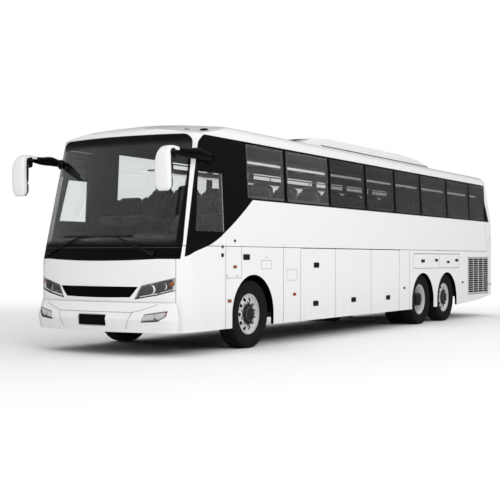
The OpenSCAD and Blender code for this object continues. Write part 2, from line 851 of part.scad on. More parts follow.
rail_y = 400;
rail_w = 80;
rail_z0 = 640;
rail_z1 = 860;
module rails(x0, x1) {
    for (s = [-1, 1])
        translate([x0, s * rail_y - rail_w / 2, rail_z0]) cube([x1 - x0, rail_w, rail_z1 - rail_z0]);
}
module cross_member(x) {
    translate([x - rail_w / 2, -rail_y, rail_z0 + rail_w / 2])
        cube([rail_w, 2 * rail_y, rail_z1 - rail_z0 - rail_w]);
}
eye_r = 22;
eye_t = 60;
eye_z = 410;
eye_x = tail_x + 2 * tail_r + wall_t + eye_t;
pad_t = 30;
module chassis_frame() color("dimgray") {
    rails(seam(2) + seat_slack, seam(0) - floor_t - seat_slack);
    rails(tail_x + 2 * tail_r + wall_t, seam(5) - seat_slack);
    for (x = [front_x + front_arch_r + rail_w / 2, front_x - front_arch_r - rail_w])
        cross_member(x);
    for (x = [drive_x + rear_arch_r, (drive_x + tag_x) / 2, tag_x - rear_arch_r, eye_x])
        cross_member(x);
    // Towing eye under the tail
    difference() {
        union() {
            disc_y(eye_x, eye_z, 2 * eye_r, -eye_t / 2, eye_t / 2);
            box(eye_x - 2 * eye_r, eye_x + 2 * eye_r, -eye_t / 2, eye_t / 2,
                eye_z, rail_z0 + rail_w / 2 + pad_t);
        }
        disc_y(eye_x, eye_z, eye_r, -eye_t, eye_t);
    }
    // Jacking pads
    for (x = [front_x - front_arch_r - rail_w, drive_x + rear_arch_r])
        for (s = [-1, 1])
            box(x - rail_w, x + rail_w, s * rail_y - rail_w / 2, s * rail_y + rail_w / 2,
                rail_z0 - pad_t, rail_z0);
}
bay_x0 = seam(5);
bay_x1 = seam(2);
module bay_floor() color("gray") {
    inset = skin_t + panel_gap;
    box(bay_x0, bay_x1, -half_w + inset, half_w - inset, bay_z - floor_t, bay_z);
    for (x = [bay_x0, seam(4) - floor_t / 2, seam(3) - floor_t / 2, bay_x1 - floor_t])
        box(x, x + floor_t, -half_w + inset, half_w - inset, bay_z, floor_z - floor_t - seat_slack);
}
step_n = 3;
aisle_hw = 200;
// Spans of the fixed lower panels that the floor's edge carries
module edge_pads(spans) {
    for (p = spans)
        box(p[0] + panel_gap, p[1] - panel_gap, half_w - skin_t - 2 * panel_gap, half_w - skin_t - seat_slack,
            floor_z - floor_t, floor_z);
}
rail_in = half_w - 2 * wall_t;
rail_out = half_w - skin_t - panel_gap;
rear_end_x = tail_x + wall_t + tail_lean;
module cabin_floor() color("gray") {
    box(rear_end_x, seam(0), -rail_out, rail_out, floor_z - floor_t, floor_z);
    for (right = [false, true])
        mirrored(right) {
            box(rear_end_x, seam(0), rail_in, rail_out, floor_z - floor_t, belt_z + hg - seat_slack);
            edge_pads([[seam(1), seam(0) - 2 * panel_gap], [seam(2), seam(1)], [seam(6), seam(5)],
                       [at(lid_shares[0]), seam(6)], [rear_end_x, at(lid_shares[2])]]);
        }
    // Driver's platform and the rise to the passenger floor
    intersection() {
        box(seam(0), mask_seam_x - wall_t, -aisle_hw, rail_out, driver_z - floor_t, driver_z);
        form(skin_t + panel_gap);
    }
    translate([0, 0, driver_z - floor_z]) edge_pads([[seam(0), mask_x - corner_back]]);
    box(seam(0) - floor_t, seam(0), -rail_out, rail_out, driver_z - floor_t, floor_z);
    // Stairs of the entrance with the sill under the door
    for (i = [0 : step_n - 1])
        box(seam(0), door_x1, i * half_w / 4 - rail_out, -aisle_hw, skirt_z,
            door_z0 + i * (driver_z - door_z0) / step_n);
    box(seam(0), door_x1, panel_gap - half_w, -aisle_hw, skirt_z, door_z0 - panel_gap);
    box(seam(0) - floor_t, seam(0), -rail_out, -aisle_hw, skirt_z, floor_z);
}
liner_t = 12;
module liner(x0, x1, y0, z1) {
    difference() {
        box(x0, x1, y0, half_w - skin_t - seat_slack, tyre_r, z1);
        box(x0 + liner_t, x1 - liner_t, y0 + liner_t, body_w, 0, z1 - liner_t);
    }
}
liner_in = 735;
liner_y = half_w - liner_in;
// Slot over an axle
module axle_slot(x) {
    reach = axle_d / 2 + panel_gap;
    box(x - reach, x + reach, 0, liner_y + 2 * liner_t, 0, tyre_r + reach);
}
module arch_liners() color("black") {
    for (right = [false, true])
        mirrored(right) {
            liner(front_x - front_arch_r - 2 * liner_t, front_x + front_arch_r + 2 * liner_t,
                  liner_y, tyre_r + front_arch_r + 2 * liner_t);
            difference() {
                liner(tag_x - rear_arch_r - 2 * liner_t, drive_x + rear_arch_r + 2 * liner_t,
                      liner_y, rear_arch_z + rear_arch_r + 2 * liner_t);
                axle_slot(drive_x);
                axle_slot(tag_x);
            }
        }
}

// Cabin

back_shares = [[-0.10, 0.40], [-0.34, 0.96], [-0.28, 1.0], [-0.20, 1.0], [0.06, 0.46],
               [0.50, 0.44], [0.54, 0.40], [0.50, 0.36], [0.22, 0.34],
                [0.16, 0], [0.02, 0], [0.04, 0.34], [-0.06, 0.35]];
module seat(x, y, z, w) {
    translate([x, 0, z])
        along_y(y - w / 2, y + w / 2)
            polygon([for (s = back_shares) [s[0] * seat_pitch, s[1] * seat_h]]);
}
seat_y = rail_in - panel_gap - seat_w / 2;
first_row_x = seam(0) - 0.7 * seat_pitch;
seat_rows = floor((seam(0) - rear_end_x) / seat_pitch - 1.5);
module seats() color("darkslategray") {
    for (r = [0 : seat_rows - 1])
        for (s = [-1, 1])
            seat(first_row_x - r * seat_pitch, s * seat_y, floor_z + seat_slack, seat_w);
    seat(seam(0) + 0.12 * seat_pitch, 2 * seat_w / 3, driver_z + seat_slack, seat_w / 2);
}
rack_y0 = 820;
rack_h = 130;
module racks() color("gray") {
    for (right = [false, true])
        mirrored(right)
            intersection() {
                box(tail_x + tail_lean + 3 * tail_r, seam(0) - seat_pitch / 2, rack_y0, body_w,
                    rack_z, rack_z + rack_h);
                form(wall_t + seat_slack);
            }
}
dash_shares = [[0, 0], [0, 0.45], [0.25, 0.62], [0.5, 1.0], [0.75, 0.95], [1.0, 0.55], [1.0, 0]];
dash_h = 640;
dash_d = 420;
dash_back = 240;
dash_x = mask_x - 2 * wall_t - dash_d - dash_back;
module dash_form() {
    translate([dash_x, 0, driver_z + seat_slack])
        along_y(-0.1 * half_w, 0.86 * half_w)
            polygon([for (s = dash_shares) [s[0] * dash_d, s[1] * dash_h]]);
}
module dashboard() color("black") dash_form();
helm_t = 32;
module steering_wheel() color("black") {
    difference() {
        translate([dash_x - wall_t, 2 * seat_w / 3, driver_z + 1.7 * helm_d])
            rotate([0, -35, 0]) {
                rotate_extrude($fn = 64) translate([helm_d / 2, 0]) circle(d = helm_t, $fn = 32);
                cylinder(d = helm_d / 4, h = helm_t, center = true, $fn = 32);
                for (a = [0, 120, 240])
                    rotate([0, 0, a])
                        translate([0, -helm_t / 2, -helm_t / 4]) cube([helm_d / 2, helm_t, helm_t / 2]);
                translate([0, 0, -helm_d]) cylinder(d = 1.4 * helm_t, h = helm_d, $fn = 24);
            }
        translate([-seat_slack, 0, seat_slack]) dash_form();
    }
}
module engine() color("gray") {
    box(eye_x + 2 * eye_r + panel_gap, tag_x - rear_arch_r - 3 * skin_t, -rail_y + rail_w / 2 + seat_slack,
        rail_y - rail_w / 2 - seat_slack, rail_z0 - 2 * wall_t, floor_z - 3 * floor_t);
}

// Axles and wheels

hub_y = wheel_face_y - tyre_w / 2;
stub_r = 0.3 * axle_d;
disc_t = 14;
convex = 0.2 * tyre_w;
hub_out = 3 * disc_t;
wheel_clear = 8;
// Air springs between an axle and the rails
spring_d = 1.6 * axle_d;
module air_springs(x, z) {
    for (s = [-1, 1])
        translate([x, s * rail_y, z]) cylinder(d = spring_d, h = rail_z0 - seat_slack - z, $fn = 32);
}
module front_axle() color("dimgray") {
    air_springs(front_x, tyre_r - axle_d / 2);
    translate([front_x, 0, tyre_r - axle_d / 2])
        rotate([90, 0, 0])
            cylinder(d = axle_d, h = 2 * king_y - 2 * axle_d, center = true, $fn = 32);
    for (s = [-1, 1])
        difference() {
            translate([front_x - axle_d / 2, s > 0 ? king_y - 1.5 * axle_d : -king_y - axle_d / 2,
                       tyre_r - axle_d])
                cube([axle_d, 2 * axle_d, 2 * axle_d]);
            translate([front_x, s * king_y, 0]) cylinder(d = axle_d / 2, h = far, $fn = 32);
            translate([front_x - axle_d, s * king_y - axle_d / 2 - wheel_clear,
                       tyre_r - axle_d / 2 - wheel_clear])
                cube([2 * axle_d, 2 * axle_d, axle_d + 2 * wheel_clear]);
        }
}
module knuckle() {
    translate([front_x, king_y, tyre_r - axle_d / 2]) cylinder(d = axle_d * 0.9, h = axle_d, $fn = 32);
    translate([front_x, king_y, tyre_r - 0.95 * axle_d])
        cylinder(d = axle_d / 2 - 2 * run_slack, h = 1.9 * axle_d, $fn = 32);
    disc_y(front_x, tyre_r, stub_r, king_y, hub_y + convex);
}
module knuckle_l() color("dimgray") knuckle();
module knuckle_r() color("dimgray") mirror([0, 1, 0]) knuckle();

// Section of a tyre: share of the height from bead to tread, share of the width
tyre_shares = [[0, -0.36], [0.15, -0.44], [0.5, -0.5], [0.825, -0.485], [0.96, -0.43], [1, -0.36],
               [1, 0.36], [0.96, 0.43], [0.825, 0.485], [0.5, 0.5], [0.15, 0.44], [0, 0.36]];
module tyre() {
    rotate([90, 0, 0])
        rotate_extrude($fn = 64)
            polygon([for (s = tyre_shares) [rim_r + s[0] * (tyre_r - rim_r), s[1] * tyre_w]]);
}
hand_holes = 10;
bead_r = rim_r - seat_slack;
hub_r = 0.48 * bead_r;
// Section of a wheel disc: share of the bead radius, share of the tyre width from the disc's seat
barrel_shares = [[0.86, -0.36], [1, -0.36], [1, 0.36], [0.955, 0.37], [0.93, 0.3],
                 [0.885, 0.24], [0.86, 0.05]];
face_shares = [[0.9, -0.04], [0.9, 0.02], [0.8, 0.02], [0.66, 0.09], [0.56, 0.1], [0.47, 0.1], [0.47, -0.06],
               [0.6, 0.03], [0.7, 0.0], [0.8, -0.05]];
module rim(dish, inner, blind) {
    // dish is the place of the disc across the wheel, out from the middle
    rotate([-90, 0, 0])
        difference() {
            union() {
                rotate_extrude($fn = 64)
                    polygon([for (s = barrel_shares) [s[0] * bead_r, s[1] * tyre_w]]);
                translate([0, 0, dish])
                    rotate_extrude($fn = 64)
                        polygon([for (s = face_shares) [s[0] * bead_r, s[1] * tyre_w]]);
                translate([0, 0, dish - inner]) cylinder(r = hub_r, h = inner + hub_out, $fn = 48);
                translate([0, 0, dish]) cylinder(r = 0.72 * hub_r, h = hub_out + 2 * disc_t, $fn = 48);
            }
            for (i = [0 : hand_holes - 1])
                rotate([0, 0, i * 360 / hand_holes])
                    translate([0.745 * bead_r, 0, -far / 2]) cylinder(r = 0.085 * bead_r, h = far, $fn = 24);
            translate([0, 0, -far / 2])
                cylinder(r = stub_r + run_slack, h = far / 2 + (blind ? dish + wheel_clear : far), $fn = 32);
        }
}
twin_y = hub_y - tyre_w - twin_gap;
module place(x, right, y) {
    mirrored(right) translate([x, y, tyre_r]) children();
}
module tyre_fl() color("black") place(front_x, false, hub_y) tyre();
module tyre_fr() color("black") place(front_x, true, hub_y) tyre();
module tyre_tl() color("black") place(tag_x, false, hub_y) tyre();
module tyre_tr() color("black") place(tag_x, true, hub_y) tyre();
module twin_tyres(right) {
    place(drive_x, right, hub_y) tyre();
    place(drive_x, right, twin_y) tyre();
}
module tyre_dl() color("black") twin_tyres(false);
module tyre_dr() color("black") twin_tyres(true);
module rim_fl() color("silver") place(front_x, false, hub_y) rim(convex, tyre_w / 3, true);
module rim_fr() color("silver") place(front_x, true, hub_y) rim(convex, tyre_w / 3, true);
module rim_tl() color("silver") place(tag_x, false, hub_y) rim(convex, tyre_w / 3, true);
module rim_tr() color("silver") place(tag_x, true, hub_y) rim(convex, tyre_w / 3, true);
module twin_rims(right) {
    place(drive_x, right, hub_y) rim(-convex, hub_y - twin_y - 2 * convex, true);
    place(drive_x, right, twin_y) rim(convex, tyre_w / 3, false);
}
module rim_dl() color("silver") twin_rims(false);
module rim_dr() color("silver") twin_rims(true);
module drive_axle() color("dimgray") {
    air_springs(drive_x, tyre_r);
    translate([drive_x, 0, tyre_r])
        rotate([90, 0, 0]) cylinder(d = axle_d, h = 2 * (twin_y - tyre_w / 2), center = true, $fn = 32);
    translate([drive_x, 0, tyre_r]) sphere(d = 2.6 * axle_d, $fn = 32);
    for (s = [-1, 1])
        disc_y(drive_x, tyre_r, stub_r, s > 0 ? 0 : convex - hub_y, s > 0 ? hub_y - convex : 0);
}
module tag_axle() color("dimgray") {
    air_springs(tag_x, tyre_r);
    translate([tag_x, 0, tyre_r])
        rotate([90, 0, 0]) cylinder(d = axle_d, h = 2 * (hub_y - tyre_w), center = true, $fn = 32);
    disc_y(tag_x, tyre_r, stub_r, -hub_y - convex, hub_y + convex);
}

chassis_frame();
bay_floor();
cabin_floor();
side_left();
side_right();
skirt_left();
skirt_right();
flap_l1();
flap_l2();
flap_l3();
flap_r1();
flap_r2();
flap_r3();
lid_l1();
lid_l2();
louvre_door();
engine_lid();
rear_cap();
roof();
roof_unit();
front_mask();
bumper();
front_trim();
headlamps();
amber_lamps();
red_lamps();
windscreen();
wipers();
mirror_arms();
mirror_heads();
side_glass();
dashboard();
steering_wheel();
seats();
racks();
engine();
arch_liners();
front_axle();
drive_axle();
tag_axle();
hinge_rods();
knuckle_l();
knuckle_r();
tyre_fl();
tyre_fr();
tyre_dl();
tyre_dr();
tyre_tl();
tyre_tr();
rim_fl();
rim_fr();
rim_dl();
rim_dr();
rim_tl();
rim_tr();
entry_door();
door_glass();
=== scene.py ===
# %% [markdown]
# # A white touring coach, dressed over its CAD frame
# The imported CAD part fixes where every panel, pane, wheel and hinge is, so this lesson never moves it.
# It adds two things: finishes made of shader nodes, and the small pieces that a CAD model leaves out.
# Each step says what the real thing is, how it could be made in Blender, and why it is made this way here.

# %% Load the frame
import json
import math

import bpy
from mathutils import Matrix, Vector


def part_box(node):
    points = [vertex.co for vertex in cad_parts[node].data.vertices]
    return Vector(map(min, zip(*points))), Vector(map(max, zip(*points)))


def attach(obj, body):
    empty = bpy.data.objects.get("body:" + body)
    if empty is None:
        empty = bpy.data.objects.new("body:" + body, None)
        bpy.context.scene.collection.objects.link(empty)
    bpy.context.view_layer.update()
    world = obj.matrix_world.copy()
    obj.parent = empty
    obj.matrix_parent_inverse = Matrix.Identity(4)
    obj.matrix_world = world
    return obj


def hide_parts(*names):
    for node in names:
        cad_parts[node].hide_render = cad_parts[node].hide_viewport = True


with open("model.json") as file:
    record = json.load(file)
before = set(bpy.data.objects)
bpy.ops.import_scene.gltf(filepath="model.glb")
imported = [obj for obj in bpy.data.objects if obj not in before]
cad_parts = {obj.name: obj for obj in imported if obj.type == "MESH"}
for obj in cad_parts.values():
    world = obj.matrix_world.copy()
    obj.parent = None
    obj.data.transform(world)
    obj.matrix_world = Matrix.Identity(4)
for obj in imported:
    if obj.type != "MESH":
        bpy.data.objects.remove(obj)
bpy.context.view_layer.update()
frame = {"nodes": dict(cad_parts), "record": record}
NODES = frame["nodes"]

# %% [markdown]
# ## Measures taken from the frame
# The coach points along +X and its driver's side is +Y. Typing sizes again would let the two models drift
# apart. So the wheel centres and the skin's extents are read from the CAD nodes themselves.

# %% Measures
def mid(node):
    lo, hi = (Vector(v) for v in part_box(node))
    return (lo + hi) / 2


def low(node):
    return Vector(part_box(node)[0])


def high(node):
    return Vector(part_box(node)[1])


FRONT, DRIVE, TAG = (mid("tyre_" + k).x for k in ("fl", "dl", "tl"))
WHEELBASE = FRONT - DRIVE
TYRE_R = high("tyre_fl").z / 2
HALF_W = high("flap_l1").y
BELT = high("flap_l1").z
SKIRT = low("flap_l1").z
print("wheelbase", round(WHEELBASE, 3), "half width", round(HALF_W, 3), "belt", round(BELT, 3))

# %% [markdown]
# ## From points to a piece
# Every extra starts as a plain list of points and faces. One helper turns such lists into a mesh, gives it a
# finish, and hangs it on the CAD body it moves with. A second one joins lists, and a third lays faces over
# rows of points. The functions for single shapes come later, each where the first piece needs it.

# %% Piece helpers
def mesh(name, verts, faces, mat, body="coach", smooth=True):
    """A piece with a finish that moves with a body of the frame."""
    data = bpy.data.meshes.new(name)
    data.from_pydata([tuple(v) for v in verts], [], faces)
    data.validate()
    data.update()
    if smooth:
        data.polygons.foreach_set("use_smooth", [True] * len(data.polygons))
    ob = bpy.data.objects.new(name, data)
    bpy.context.scene.collection.objects.link(ob)
    data.materials.append(mat)
    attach(ob, body)
    return ob


def joined(parts):
    """Several (verts, faces) lists as one pair."""
    verts, faces = [], []
    for v, f in parts:
        n = len(verts)
        verts += v
        faces += [[i + n for i in q] for q in f]
    return verts, faces


def grid(rows, closed=False):
    """Faces over equally long rows of points."""
    n, m = len(rows), len(rows[0])
    faces = [[i * m + j, i * m + (j + 1) % m, (i + 1) * m + (j + 1) % m, (i + 1) * m + j]
             for i in range(n - 1) for j in range(m if closed else m - 1)]
    return [Vector(p) for r in rows for p in r], faces


print("helpers: mesh, joined, grid")


# %% [markdown]
# ## Effects that several finishes share
# Real surfaces are never one flat colour. Each effect below is a node group, built once, with named sockets.
# A material places the group and gives it its own values, so paint, rubber and plastic can share one recipe.
# The groups only put out masks, values and normals. The shader itself stays in the material.

# %% Node helpers
def new_group(name, inputs, outputs):
    """A node group with number inputs; an output called Normal is a vector, and any other is a number."""
    g = bpy.data.node_groups.new(name, "ShaderNodeTree")
    for label, value in inputs.items():
        g.interface.new_socket(label, in_out="INPUT", socket_type="NodeSocketFloat").default_value = value
    for label in outputs:
        kind = "NodeSocketVector" if label == "Normal" else "NodeSocketFloat"
        g.interface.new_socket(label, in_out="OUTPUT", socket_type=kind)
    return g, g.nodes.new("NodeGroupInput").outputs, g.nodes.new("NodeGroupOutput").inputs


def put_out(tree, outs, **values):
    """Links values to the outputs of a group, which is then done."""
    for label, value in values.items():
        tree.links.new(value, outs[label])
    print("group", tree.name, len(tree.nodes), "nodes")


def wire(tree, n, values):
    """Gives a node's inputs their values: a socket is linked, anything else is set."""
    for k, v in values.items():
        if isinstance(v, bpy.types.NodeSocket):
            tree.links.new(v, n.inputs[k])
        else:
            n.inputs[k].default_value = v


def node(tree, kind, wires=None, **props):
    """A new node with its inputs wired; kind is its type without the leading ShaderNode."""
    n = tree.nodes.new("ShaderNode" + kind)
    for k, v in props.items():
        setattr(n, k, v)
    wire(tree, n, wires or {})
    return n


def sums(tree, op, a, b=0.0, c=0.0):
    """One Math node; any of its inputs may be a number or a socket."""
    return node(tree, "Math", {0: a, 1: b, 2: c}, operation=op).outputs[0]


def ranged(tree, value, low, high, to_low=0.0, to_high=1.0, **props):
    """Maps a value from one range to another."""
    wires = {"Value": value, "From Min": low, "From Max": high, "To Min": to_low, "To Max": to_high}
    return node(tree, "MapRange", wires, **props).outputs[0]


def here(tree):
    """The position in the coach's frame, since every piece has its origin there."""
    return node(tree, "TexCoord").outputs["Object"]


def place(tree, group, **values):
    n = tree.nodes.new("ShaderNodeGroup")
    n.node_tree = group
    wire(tree, n, {k.replace("_", " "): v for k, v in values.items()})
    return n.outputs


def parts_of(tree):
    """Position in the coach's frame and the surface direction, both split into X, Y and Z."""
    pos = here(tree)
    p = node(tree, "SeparateXYZ", {0: pos}).outputs
    facing = node(tree, "TexCoord").outputs["Normal"]
    n = node(tree, "SeparateXYZ", {0: facing}).outputs
    return pos, p, n


print("helpers: new_group, put_out, wire, node, sums, ranged, here, place, parts_of")

# %% Mottling: a slow and a fine noise that vary gloss and tone
FINER, FINE_SHARE = 23.0, 0.3
MOTTLE, ins, outs = new_group("Mottling", {"Scale": 4.0, "Low": 0.2, "High": 0.3}, ["Value", "Raw"])
t = MOTTLE
where = here(t)
slow = node(t, "TexNoise", {"Vector": where, "Scale": ins["Scale"], "Detail": 4.0}).outputs["Fac"]
fine_scale = sums(t, "MULTIPLY", ins["Scale"], FINER)
fine = node(t, "TexNoise", {"Vector": where, "Scale": fine_scale}).outputs["Fac"]
raw = sums(t, "MULTIPLY_ADD", slow, 1 - FINE_SHARE, sums(t, "MULTIPLY", fine, FINE_SHARE))
put_out(t, outs, Raw=raw, Value=ranged(t, raw, 0.3, 0.7, ins["Low"], ins["High"]))

# %% Road film: thin dirt that gathers low on the body
FILM_LOW = 0.25             # height below which the film is full
FILM, ins, outs = new_group("Road film", {"Top": 1.1, "Strength": 0.2}, ["Mask"])
t = FILM
pos, p, n = parts_of(t)
fade = ranged(t, p[2], FILM_LOW, ins["Top"], 1.0, 0.0, interpolation_type="SMOOTHSTEP")
drawn_out = node(t, "Mapping", {"Vector": pos, "Scale": (3.0, 3.0, 0.7)}).outputs[0]
streak = node(t, "TexNoise", {"Vector": drawn_out, "Scale": 3.0, "Detail": 6.0}).outputs["Fac"]
put_out(t, outs, Mask=sums(t, "MULTIPLY", sums(t, "MULTIPLY", fade, streak), ins["Strength"]))

# %% Soft edges: rounds sharp panel edges in the shading, and adds a faint ripple
EDGES, ins, outs = new_group("Soft edges", {"Radius": 0.004, "Ripple scale": 3.0, "Ripple": 0.02}, ["Normal"])
t = EDGES
where = here(t)
ripple = node(t, "TexNoise", {"Vector": where, "Scale": ins["Ripple scale"], "Detail": 1.0}).outputs["Fac"]
rounded = node(t, "Bevel", {"Radius": ins["Radius"]}, samples=3).outputs[0]
bump = node(t, "Bump", {"Strength": ins["Ripple"], "Distance": 0.02, "Height": ripple, "Normal": rounded})
put_out(t, outs, Normal=bump.outputs[0])

# %% Grain: the fine leather-like bump of moulded plastic and rubber
GRAIN, ins, outs = new_group("Moulded grain", {"Scale": 300.0, "Depth": 0.3}, ["Normal"])
t = GRAIN
where = here(t)
cells = node(t, "TexVoronoi", {"Vector": where, "Scale": ins["Scale"]}).outputs["Distance"]
bump = node(t, "Bump", {"Strength": ins["Depth"], "Distance": 0.002, "Height": cells})
put_out(t, outs, Normal=bump.outputs[0])

# %% [markdown]
# ## Where the shell is black, where it is lining, and where gaps get painted shade
# The coach's sides are white steel, but the window band and a swoosh round the driver's window are gloss
# black. On the real coach this is film and enamel over one smooth wall, so cutting the mesh would add seams
# that aren't there. A mask made from the position does it instead: a curve gives the lower edge, and one
# rounded corner is worked out from the distances to the top and to the leaning front pillar. A second mask
# finds faces that look inwards, and the edges of openings, which on the real coach are covered with dark
# lining or rubber. It also darkens the edges of flaps and panels in their shut gaps and in the belt groove,
# and there the dark is painted shade.

# %% Blackout mask
PILLAR_LEAN = math.tan(math.radians(13))
SCREEN_EDGE = 1.74          # rear edge of the windscreen at its foot, ahead of the front axle
STRIP = 0.045               # white strip left between windscreen and black at the foot
BAND_LOW, BAND_TOP, SILL = 2.18, 3.028, 1.31
BAND_REAR, BAND_REAR_LEAN = -10.63, 0.54    # rear edge at the band's foot, and its lean forward per metre
CORNER = 0.14
SWOOSH_X0, SWOOSH_X1, SWOOSH_Z = -0.02, 1.75, 1.3
SWOOSH = [(SWOOSH_X1, 1.352), (1.48, 1.417), (1.12, 1.516), (0.92, 1.6), (0.74, 1.697), (0.44, 1.872),
          (0.17, 2.05), (SWOOSH_X0, BAND_LOW)]
STEEP = 0.75                # faces that look up more than this are roof and stay white

BLACKOUT, ins, outs = new_group("Side blackout", {}, ["Mask"])
t = BLACKOUT
pos, p, n = parts_of(t)
ahead = sums(t, "SUBTRACT", p[0], FRONT)
edge = sums(t, "MULTIPLY_ADD", sums(t, "SUBTRACT", p[2], SILL), -PILLAR_LEAN, SCREEN_EDGE - STRIP)
gap_front = sums(t, "MAXIMUM", sums(t, "SUBTRACT", CORNER, sums(t, "SUBTRACT", edge, ahead)), 0.0)
gap_top = sums(t, "MAXIMUM", sums(t, "SUBTRACT", CORNER, sums(t, "SUBTRACT", BAND_TOP, p[2])), 0.0)
squares = sums(t, "ADD", sums(t, "POWER", gap_front, 2.0), sums(t, "POWER", gap_top, 2.0))
corner = sums(t, "LESS_THAN", squares, CORNER ** 2)
curve = node(t, "FloatCurve", {"Value": ranged(t, ahead, SWOOSH_X0, SWOOSH_X1)})
points = curve.mapping.curves[0].points
for i, (x, z) in enumerate(sorted(SWOOSH)):
    at = ((x - SWOOSH_X0) / (SWOOSH_X1 - SWOOSH_X0), z - SWOOSH_Z)
    if i in (0, len(SWOOSH) - 1):
        points[0 if i == 0 else 1].location = at
    else:
        points.new(*at)
curve.mapping.update()
above = sums(t, "GREATER_THAN", sums(t, "SUBTRACT", p[2], SWOOSH_Z), curve.outputs[0])
upright = sums(t, "LESS_THAN", sums(t, "ABSOLUTE", n[2]), STEEP)
straightened = sums(t, "MULTIPLY_ADD", sums(t, "SUBTRACT", p[2], BAND_LOW), -BAND_REAR_LEAN, ahead)
inside = sums(t, "GREATER_THAN", straightened, BAND_REAR)
at_front = sums(t, "MULTIPLY", corner, above)
put_out(t, outs, Mask=sums(t, "MULTIPLY", at_front, sums(t, "MULTIPLY", upright, inside)))

# %% Sagging edge of the black panel over the nose
SAG_DEPTH, SAG_HALF, NOSE_FROM = 0.028, 0.95, 1.6
SAG, ins, outs = new_group("Panel sag", {}, ["Mask"])
t = SAG
pos, p, n = parts_of(t)
off_middle = sums(t, "POWER", sums(t, "DIVIDE", p[1], SAG_HALF), 2.0)
bow = sums(t, "MULTIPLY_ADD", off_middle, SAG_DEPTH, SILL - SAG_DEPTH)
low_enough = sums(t, "MULTIPLY", sums(t, "GREATER_THAN", p[2], bow), sums(t, "LESS_THAN", p[2], SILL + 0.002))
put_out(t, outs, Mask=sums(t, "MULTIPLY", low_enough, sums(t, "GREATER_THAN", p[0], FRONT + NOSE_FROM)))

# %% Lining mask, which also paints shade on panel edges in the gaps
AXIS_REAR, AXIS_FRONT = -5.6, 5.2           # a line along the middle of the cabin; inward means towards it
INWARD, EDGE_ON = -0.25, 0.7
REVEAL_MID, REVEAL_HALF, REVEAL_TOP = -0.25, 5.85, 3.0
TRIM_AND_GAP_SHADE, ins, outs = new_group("Inner trim and gap shade", {"Axis height": 2.0}, ["Mask"])
t = TRIM_AND_GAP_SHADE
pos, p, n = parts_of(t)
on_axis = node(t, "Clamp", {"Value": p[0], "Min": AXIS_REAR, "Max": AXIS_FRONT}).outputs[0]
over_x = sums(t, "SUBTRACT", p[0], on_axis)
part_z = sums(t, "MULTIPLY", sums(t, "SUBTRACT", p[2], ins["Axis height"]), n[2])
facing = sums(t, "MULTIPLY_ADD", over_x, n[0], sums(t, "MULTIPLY_ADD", p[1], n[1], part_z))
# Faces turned towards the middle line are the lining; the top edges of the flaps in the belt groove turn that
# way too, and there the dark is painted shade.
inward = sums(t, "LESS_THAN", facing, INWARD)
from_mid = sums(t, "ABSOLUTE", sums(t, "SUBTRACT", p[0], REVEAL_MID))
along_body = sums(t, "MULTIPLY", sums(t, "LESS_THAN", from_mid, REVEAL_HALF),
                  sums(t, "LESS_THAN", p[2], REVEAL_TOP))
# Edges facing along the coach go dark: rubber at the window reveals, painted shade on flap and panel edges in
# the shut gaps.
reveal = sums(t, "MULTIPLY", along_body, sums(t, "GREATER_THAN", sums(t, "ABSOLUTE", n[0]), EDGE_ON))
put_out(t, outs, Mask=sums(t, "MAXIMUM", inward, reveal))

# %% [markdown]
# ## Finishes
# Each finish is one Principled shader with group effects wired to its colour, roughness and normal.
# Numbers that are the same all over sit directly on the shader's sockets.

# %% Material builder
def blend(tree, mask, a, b):
    """Mixes two colours, each three numbers or a socket."""
    mix = node(tree, "Mix", {"Factor": mask}, data_type="RGBA")
    for i, c in ((6, a), (7, b)):
        if isinstance(c, bpy.types.NodeSocket):
            tree.links.new(c, mix.inputs[i])
        else:
            mix.inputs[i].default_value = (*c, 1)
    return mix.outputs[2]


def finish(name, color, rough=(0.3, 0.4), scale=4.0, tone=0.0, **sockets):
    """A Principled material whose gloss and tone vary by the mottling group, with its tree and shader."""
    m = bpy.data.materials.new(name)
    m.use_nodes = True
    tree = m.node_tree
    b = tree.nodes["Principled BSDF"]
    g = place(tree, MOTTLE, Scale=scale, Low=rough[0], High=rough[1])
    tree.links.new(g["Value"], b.inputs["Roughness"])
    if tone:
        darker, lighter = [c * (1 - tone) for c in color], [min(1, c * (1 + tone)) for c in color]
        tree.links.new(blend(tree, g["Raw"], darker, lighter), b.inputs["Base Color"])
    else:
        b.inputs["Base Color"].default_value = (*color, 1)
    for k, v in sockets.items():
        b.inputs[k.replace("_", " ")].default_value = v
    return m, tree, b


def mixed(tree, share, a, b):
    """Mixes two shaders; a share of 1 shows only the second."""
    return node(tree, "MixShader", {0: share, 1: a, 2: b}).outputs[0]


def grained(m, tree, b, scale=300.0, depth=0.3):
    tree.links.new(place(tree, GRAIN, Scale=scale, Depth=depth)["Normal"], b.inputs["Normal"])
    return m


print("helpers: blend, finish, mixed, grained")

# %% [markdown]
# ### Body paint
# White enamel under clear coat. Large steel sheets are never quite flat, so a very faint ripple goes into the
# normal. The same material carries the black band and the lining, because they are coverings of the same
# wall. Through the lining mask it also carries painted shade on panel edges in the gaps.

# %% Body paint
WHITE, GLOSS_BLACK, TRIM_AND_SHADE_GREY = (0.88, 0.88, 0.88), (0.004, 0.004, 0.0045), (0.02, 0.02, 0.022)
ROAD_DUST = (0.42, 0.4, 0.37)


